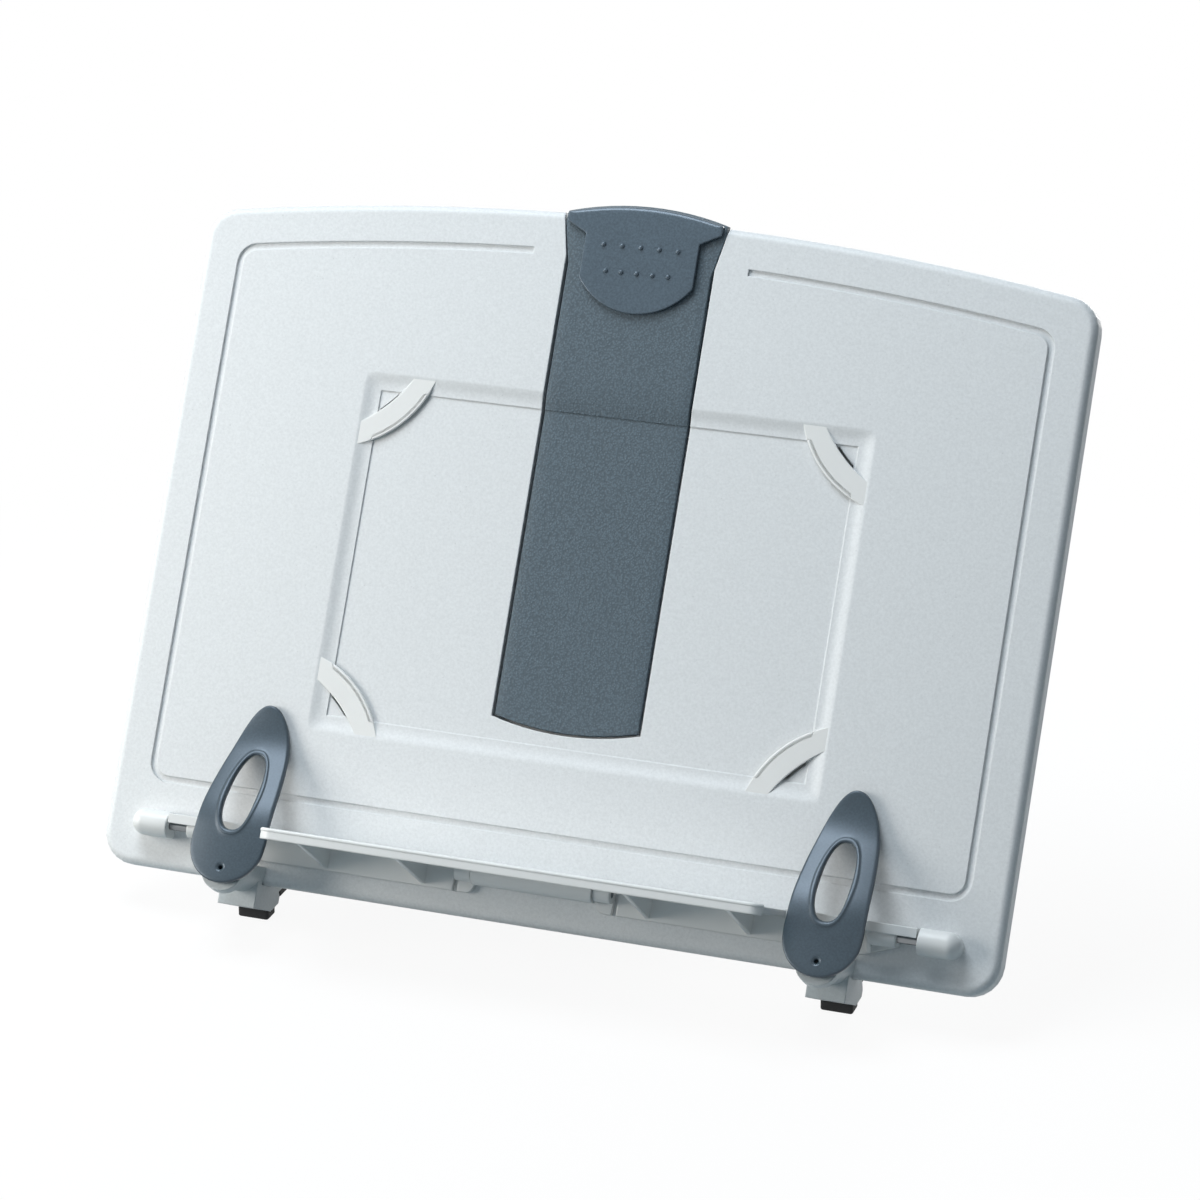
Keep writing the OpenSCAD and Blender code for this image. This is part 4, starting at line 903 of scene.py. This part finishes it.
def leaf_clip(size, side):
    """A page clip. Rays from the middle of the finger hole meet the hole's oval and the leaf's outline;
    between them the section runs over the raised ring, the face, the outer edge and the back, and closes in
    the hole."""
    half, drop, thick = (x / MM for x in (size.half_width, size.drop, size.thickness))
    hole_half, hole_high = size.finger_half / MM, size.finger_height / MM / 2.0
    hole_v = CLIP_V + size.finger_rise / MM
    # Gap at the tip, radius of the back's edges, and the back's share of the crown.
    short, rear, back_crown = 0.05, 0.5, 0.45
    up, out, lean = clip_face()
    base = CLIP_V - drop + half
    middle = base + CLIP_STRAIGHT
    arc = np.linspace(np.pi, 2.0 * np.pi, 200)
    tip = np.linspace(0.0, np.pi, 300)
    edge_u = half * np.concatenate((np.cos(arc), np.cos(tip)))
    edge_v = np.concatenate((base + half * np.sin(arc), middle + (up[-1] - short - middle) * np.sin(tip)))
    theta = whole_turn(288)
    outer = np.interp(theta, *polar(edge_u, edge_v - hole_v), period=2.0 * np.pi)
    hole_u = hole_half * squarer(np.cos(theta)) * (1.0 - size.finger_egg * np.sin(theta))
    inner = np.interp(theta, *polar(hole_u, hole_high * squarer(np.sin(theta))), period=2.0 * np.pi)
    turn = quarter(7)
    edge, lip, inset = size.edge / MM, size.lip / MM, size.finger_edge / MM
    mid = np.linspace(0.0, 1.0, 13)
    section = np.concatenate((
        np.stack((0 * turn, inset * (1 - np.cos(turn)), lip - inset * (1 - np.sin(turn))), -1),
        [(0, inset + reach, part * lip) for reach, part in RING_STEPS],
        np.stack((mid, (inset + RING_END) * (1 - mid) - edge * mid, 0 * mid), -1),
        np.stack((0 * turn + 1, -edge * (1 - np.sin(turn)), -edge * (1 - np.cos(turn))), -1)[1:],
        np.stack((0 * turn + 1, -rear * (1 - np.cos(turn)), -thick + rear * (1 - np.sin(turn))), -1),
        np.stack((1 - mid, rear * mid - rear * (1 - mid), 0 * mid - thick), -1)[1:-1],
        np.stack((0 * turn, rear * (1 - np.sin(turn)), -thick + rear * (1 - np.cos(turn))), -1),
    ))
    share, shift, height = (column[:, None] for column in section.T)
    ray = inner + share * (outer - inner) + shift
    u = ray * np.cos(theta)
    v = hole_v + ray * np.sin(theta)
    below = np.tan(CLIP_BASE) * np.maximum(CLIP_V - v, 0.0)
    w = np.interp(v, up, out) + below + height / np.cos(np.interp(v, up, lean))
    front = np.clip(1.0 + height / thick, 0.0, 1.0)
    w -= size.crown / MM * (u / half) ** 2 * (back_crown + (1.0 - back_crown) * front)
    return skin(on_board(np.stack((side * (CLIP_U + u), v, w), -1)), wrap_rows=True)


def squarer(x):
    """A cosine or sine with its sign kept and its size to the power 0.8: an oval's ends get fuller."""
    return np.sign(x) * np.abs(x) ** 0.8


def polar(u, v):
    """Angles and distances of points from the middle, in order of angle."""
    angle = np.mod(np.arctan2(v, u), 2.0 * np.pi)
    order = np.argsort(angle)
    return angle[order], np.hypot(u, v)[order]


def at_pivot(profile, side):
    """A turned shape on a clip's pivot, with heights measured out of the clip's face."""
    middle = np.array((side * CLIP_U, CLIP_V, CLIP_Z))
    along = np.array((0.0, np.sin(CLIP_BASE), np.cos(CLIP_BASE)))
    other = np.array((0.0, np.cos(CLIP_BASE), -np.sin(CLIP_BASE)))
    return capped(turned(profile, middle, ACROSS, other, along, 64))


def foot_pad(size, low, high):
    """A rubber foot: a slab over a rectangle with round corners, between its box's corners in metres."""
    near, far = np.array(low) / MM, np.array(high) / MM
    outline = np.array(((near[0], near[1]), (far[0], near[1]), (far[0], far[1]), (near[0], far[1])))
    ring = softened(outline, 0.2, size.corner / MM)
    return skin(MM * slab(ring, near[2], far[2], size.edge / MM, 0.1), start="flat", end="flat")


def pan_screw(size, u, v, w, reach):
    """A pan-head screw seen from behind the board: a domed head with a sunk cross, over a shank. The head's
    height falls with the square of the radius, and the cross is sunk where a point is within half a width
    of either arm's middle."""
    hub, rim, rim_drop, dome, turn_by = 0.04, 0.5, 0.08, 0.12, 0.3 * u
    arm_reach, soft_side, soft_end = 1.55, 0.12, 0.15
    radius, high, shank = size.head_radius / MM, size.head_height / MM, size.shank_radius / MM
    arm, sunk = size.cross_width / MM / 2.0, size.cross_depth / MM
    turn = quarter(6)[1:]
    flat = np.linspace(hub, radius - rim, 18)
    r = np.concatenate((flat, radius - rim + rim * np.sin(turn), (radius, shank, shank)))[:, None]
    edge = high - rim_drop - rim * (1.0 - np.cos(turn))
    h = np.concatenate((high - dome * (flat / radius) ** 2, edge, (0.0, 0.0, -reach)))[:, None]
    angle = whole_turn(size.segments) + np.pi / 4.0 + turn_by
    near = np.minimum(np.abs(r * np.cos(angle - turn_by)), np.abs(r * np.sin(angle - turn_by)))
    inside = easing((arm - near) / soft_side + 0.5) * easing((arm_reach - r) / soft_end + 0.5)
    height = h - sunk * inside * (h > 0.5)
    return capped(np.stack((u + r * np.cos(angle), v + r * np.sin(angle), w - height), -1))


class DressBoard(bpy.types.Operator):
    """Give the board's shell, its back and the channel cover their textured finish."""

    bl_idname = "book_stand.dress_board"
    bl_label = "Dress the board"

    def execute(self, context):
        colours = context.scene.book_stand.colours
        dress(textured_white("board_white", colours.board, 0.0006, hollow=True), "front_shell")
        dress(textured_white("back_white", colours.board, 0.0003, 0.2), "back_cover", "channel_cover")
        return {"FINISHED"}


class MakeStraps(bpy.types.Operator):
    """Make the four straps across the corners of the card recess."""

    bl_idname = "book_stand.make_straps"
    bl_label = "Make the card straps"

    def execute(self, context):
        stand = context.scene.book_stand
        white = smooth_white("strap_white", stand.colours.strap, rough=0.5)
        for end, up in (("top", 1), ("bottom", -1)):
            for hand, side in SIDES:
                made = piece(f"strap_{end}_{hand}", [strap(stand.straps, side, up)], white)
                settle(made, "board", "strap_white", f"card_strap_{end}_{hand}")
        return {"FINISHED"}


class MakeExtension(bpy.types.Operator):
    """Make the pull-up strip with its grip shield and bumps."""

    bl_idname = "book_stand.make_extension"
    bl_label = "Make the pull-up strip"

    def execute(self, context):
        stand = context.scene.book_stand
        size = stand.extension
        strip = piece("pull_strip", [pull_strip(size)], pebbled_slate("strip_slate", stand.colours.strip))
        settle(strip, "extension", "slate", "extension_strip")
        satin = satin_slate("grip_slate", stand.colours.grip, 0.29, 0.6)
        grip = piece("grip_shield", [grip_shield(size)] + grip_bumps(size), satin)
        settle(grip, "extension", "slate_grip", "grip_pad")
        dress(bright_steel("spring_steel", stand.colours.steel), "slide_spring")
        return {"FINISHED"}


class MakeLedge(bpy.types.Operator):
    """Dress the ledge and make its lip's bead, its end bars and the end hoods over its hinge pins."""

    bl_idname = "book_stand.make_ledge"
    bl_label = "Make the ledge's pieces"

    def execute(self, context):
        stand = context.scene.book_stand
        white = smooth_white("ledge_white", stand.colours.ledge, 0.0009)
        dress(white, "ledge", "hinge_hood_middle")
        # The pins' darker steel is painted shade under the ledge.
        steel = bright_steel("shaded_pin_steel", stand.colours.pin)
        dress(steel, "ledge_pin_left", "ledge_pin_right", "ledge_pin_middle")
        plain = smooth_white("hood_white", stand.colours.ledge)
        for hand, side in SIDES:
            made = piece(f"end_hood_{hand}", [end_hood(stand.hinge, side)], plain)
            cut(made, [hood_bore(side)])
            settle(made, "board", "ledge_white", f"hinge_hood_{hand}")
            bar = piece(f"end_bar_{hand}", [end_bar(stand.hinge, side)], plain)
            settle(bar, "ledge", "ledge_white")
        settle(piece("lip_bead", [lip_bead(stand.hinge)], plain), "ledge", "ledge_white")
        return {"FINISHED"}


class MakeClips(bpy.types.Operator):
    """Make the two page clips and their pivot rivets."""

    bl_idname = "book_stand.make_clips"
    bl_label = "Make the page clips"

    def execute(self, context):
        stand = context.scene.book_stand
        slate = satin_slate("clip_slate", stand.colours.clip, 0.35)
        satin = satin_slate("rivet_slate", stand.colours.rivet, 0.32)
        for hand, side in SIDES:
            made = piece(f"leaf_clip_{hand}", [leaf_clip(stand.clips, side)], slate)
            cut(made, [at_pivot(SINK, side)])
            settle(made, f"clip_{hand}", "clip_slate", f"page_clip_{hand}")
            stud = piece(f"pivot_rivet_{hand}", [at_pivot(RIVET, side)], satin)
            settle(stud, "board", "rivet_slate", f"clip_rivet_{hand}")
        dress(bright_steel("washer_steel", stand.colours.steel), "clip_washer_left", "clip_washer_right")
        return {"FINISHED"}


class MakeFeet(bpy.types.Operator):
    """Dress the foot brackets and make their rubber feet."""

    bl_idname = "book_stand.make_feet"
    bl_label = "Make the feet"

    def execute(self, context):
        stand = context.scene.book_stand
        grey = textured_white("bracket_grey", stand.colours.bracket, 0.0006, 0.2, 0.45)
        dress(grey, "foot_bracket_left", "foot_bracket_right")
        rubber = black_rubber("foot_rubber", stand.colours.rubber)
        for hand, _ in SIDES:
            for kind, node in (("front_foot", "rubber_foot"), ("rear_foot", "rubber_heel")):
                made = piece(f"{kind}_{hand}", [foot_pad(stand.feet, *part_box(f"{node}_{hand}"))], rubber)
                settle(made, "board", "rubber_black", f"{node}_{hand}")
        return {"FINISHED"}


class DressLeg(bpy.types.Operator):
    """Give the prop leg, its hinges, pins and pads their finishes."""

    bl_idname = "book_stand.dress_leg"
    bl_label = "Dress the prop leg"

    def execute(self, context):
        colours = context.scene.book_stand.colours
        grey = textured_white("leg_grey", colours.bracket, 0.0005, 0.2, 0.45)
        dress(grey, "prop_leg", "leg_hinge_left", "leg_hinge_right")
        dress(black_rubber("leg_rubber", colours.rubber), "leg_pad_left", "leg_pad_right")
        dress(bright_steel("leg_pin_steel", colours.steel), "leg_pin_left", "leg_pin_right")
        return {"FINISHED"}


class MakeScrews(bpy.types.Operator):
    """Make the screws behind the board."""

    bl_idname = "book_stand.make_screws"
    bl_label = "Make the screws"

    def execute(self, context):
        stand = context.scene.book_stand
        steel = bright_steel("screw_steel", stand.colours.steel)
        low, high = SCREW_INSET, BOARD_H - SCREW_INSET
        far, near = HALF_W - SCREW_INSET, SCREW_INNER
        fall = near ** 2 / (2.0 * bow_radius(HALF_W, CROWN))
        cover = [(far, low), (far, high - CROWN), (near, low), (near, high - fall)]
        bracket = [(CLIP_U - BRACKET_HALF, BRACKET_SCREW), (CLIP_U + BRACKET_HALF, BRACKET_SCREW)]
        for name, node, places, back, reach in (
            ("cover_screw_set", "cover_screws", cover, BOARD_T, COVER_SHANK),
            ("bracket_screw_set", "bracket_screws", bracket, BOARD_T + FLANGE, FLANGE_SHANK),
            ("leg_screw_set", "leg_hinge_screws", LEG_SCREWS, BOARD_T + FLANGE, FLANGE_SHANK),
        ):
            parts = [
                pan_screw(stand.screws, side * u, v, -back, reach) for u, v in places for side in (-1, 1)
            ]
            settle(piece(name, parts, steel, SCREW_SHARP), "board", "steel", node)
        return {"FINISHED"}


class SetStage(bpy.types.Operator):
    """Set the floor, the lamps, the surroundings and the camera."""

    bl_idname = "book_stand.set_stage"
    bl_label = "Set the stage"

    def execute(self, context):
        scene = context.scene
        size = scene.book_stand.stage
        self.floor(size)
        self.lamp("key_lamp", KEY_PLACE, size.key_power, size.key_size, (0.86, 0.94, 1.0))
        self.lamp("side_lamp", SIDE_PLACE, size.side_power, size.side_size, (1.0, 0.96, 0.9))
        self.lamp("rear_lamp", REAR_PLACE, size.rear_power, size.rear_size, (1.0, 0.98, 0.95))
        self.surround(scene, size)
        self.camera(scene, size)
        scene.view_settings.view_transform = "Standard"
        return {"FINISHED"}

    def floor(self, size):
        """A wide flat ring of quads round a middle face, white to the camera but for the object's shadow,
        which fades out between a quarter and half a metre from the middle."""
        angle = whole_turn(64)
        radius = np.array((0.3, 1.0, 3.0, 8.0))[:, None]
        grid = np.stack((radius * np.cos(angle), radius * np.sin(angle), 0.0 * radius * angle), -1)
        index = np.arange(radius.size * angle.size).reshape(grid.shape[:2])
        quads = np.stack((index[:-1], index[1:], np.roll(index[1:], -1, 1), np.roll(index[:-1], -1, 1)), -1)
        faces = quads.reshape(-1, 4).tolist() + [index[0].tolist()]
        material = bpy.data.materials.new("pale_floor")
        tree = bare_tree(material)
        start = Term(tree)
        grey = start.node("ShaderNodeBsdfDiffuse", None, {"Color": (0.22, 0.278, 0.305, 1.0)})
        pale = start.node("ShaderNodeBsdfDiffuse", None, {"Color": (0.95, 0.95, 0.95, 1.0)})
        white = start.node("ShaderNodeEmission", None, {"Color": (1.0, 1.0, 1.0, 1.0), "Strength": 1.0})
        place = start.node("ShaderNodeTexCoord", None, None, "Object")
        away = place.node("ShaderNodeVectorMath", {"operation": "LENGTH"}, {0: place}, "Value")
        kept = 1.0 - size.shadow * (2.0 - 4.0 * away).clamped()
        bright = start.node("ShaderNodeMixShader", None, {0: kept, 1: pale, 2: white})
        shown = start.node("ShaderNodeMixShader", None, {0: seen_directly(start), 1: grey, 2: bright})
        close(tree, shown.socket)
        mesh = bpy.data.meshes.new("floor")
        mesh.from_pydata(grid.reshape(-1, 3).tolist(), [], faces)
        mesh.materials.append(material)
        made = add("floor", mesh)

    def lamp(self, name, place, watts, side, tint):
        """A round soft lamp that points at the middle of the board."""
        data = bpy.data.lights.new(name, "AREA")
        data.shape = "DISK"
        data.size = side
        data.energy = watts
        data.color = tint
        made = add(name, data)
        made.location = place
        made.visible_camera = False
        made.rotation_euler = (Vector(LAMP_AIM) - Vector(place)).to_track_quat("-Z", "Y").to_euler()

    def surround(self, scene, size):
        """Soft light that fades to the right, and plain white to the camera, reflections and glass."""
        world = bpy.data.worlds.new("surround")
        tree = bare_tree(world)
        start = Term(tree)
        seen = seen_directly(start)
        towards = start.node("ShaderNodeTexCoord", None, None, "Generated")
        side = towards.node("ShaderNodeSeparateXYZ", None, {0: towards}, "X")
        soft = size.ambient - size.ambient * size.fade * side
        strength = soft + (1.0 - soft) * seen
        tint = seen.blend((0.77, 0.9, 1.0, 1.0), (1.0, 1.0, 1.0, 1.0))
        shown = start.node("ShaderNodeBackground", None, {"Color": tint, "Strength": strength})
        close(tree, shown.socket, "World")
        scene.world = world

    def camera(self, scene, size):
        data = bpy.data.cameras.new("camera")
        data.sensor_width = 36.0
        data.lens = size.lens
        data.clip_start = 0.05
        data.clip_end = 50.0
        made = add("camera", data)
        made.location = CAMERA_PLACE
        made.rotation_euler = Vector(CAMERA_LOOK).to_track_quat("-Z", "Y").to_euler()
        scene.camera = made


def seen_directly(start):
    """1 for rays from the camera, in reflections and through glass, and 0 for others."""
    outputs = start.node("ShaderNodeLightPath").socket.node.outputs
    camera, glossy, through = (
        Term(start.tree, outputs[f"Is {kind} Ray"]) for kind in ("Camera", "Glossy", "Transmission")
    )
    return (camera + glossy + through).clamped()


class BookStandPanel(bpy.types.Panel):
    """The book stand's steps, sizes and colours."""

    bl_idname = "VIEW3D_PT_book_stand"
    bl_label = "Book stand"
    bl_space_type = "VIEW_3D"
    bl_region_type = "UI"
    bl_category = "Book stand"

    def draw(self, context):
        stand = context.scene.book_stand
        for step in STEPS:
            self.layout.operator(step.bl_idname)
        for group in BookStand.__annotations__:
            box = self.layout.box()
            box.label(text=group.capitalize())
            values = getattr(stand, group)
            for key in values.__annotations__:
                box.prop(values, key)


GROUPS = (StrapSizes, ExtensionSizes, HingeSizes, ClipSizes, FootSizes, ScrewSizes, FinishColours,
          StageSizes, BookStand)
STEPS = (DressBoard, MakeStraps, MakeExtension, MakeLedge, MakeClips, MakeFeet, DressLeg, MakeScrews,
         SetStage)
CLASSES = GROUPS + STEPS + (BookStandPanel,)


def register():
    for entry in CLASSES:
        bpy.utils.register_class(entry)
    bpy.types.Scene.book_stand = PointerProperty(type=BookStand)


def unregister():
    del bpy.types.Scene.book_stand
    for entry in reversed(CLASSES):
        bpy.utils.unregister_class(entry)


def main():
    """Register the classes and run the steps in order."""
    register()
    bpy.ops.book_stand.dress_board()
    bpy.ops.book_stand.make_straps()
    bpy.ops.book_stand.make_extension()
    bpy.ops.book_stand.make_ledge()
    bpy.ops.book_stand.make_clips()
    bpy.ops.book_stand.make_feet()
    bpy.ops.book_stand.dress_leg()
    bpy.ops.book_stand.make_screws()
    bpy.ops.book_stand.set_stage()


if __name__ == "__main__":
    main()
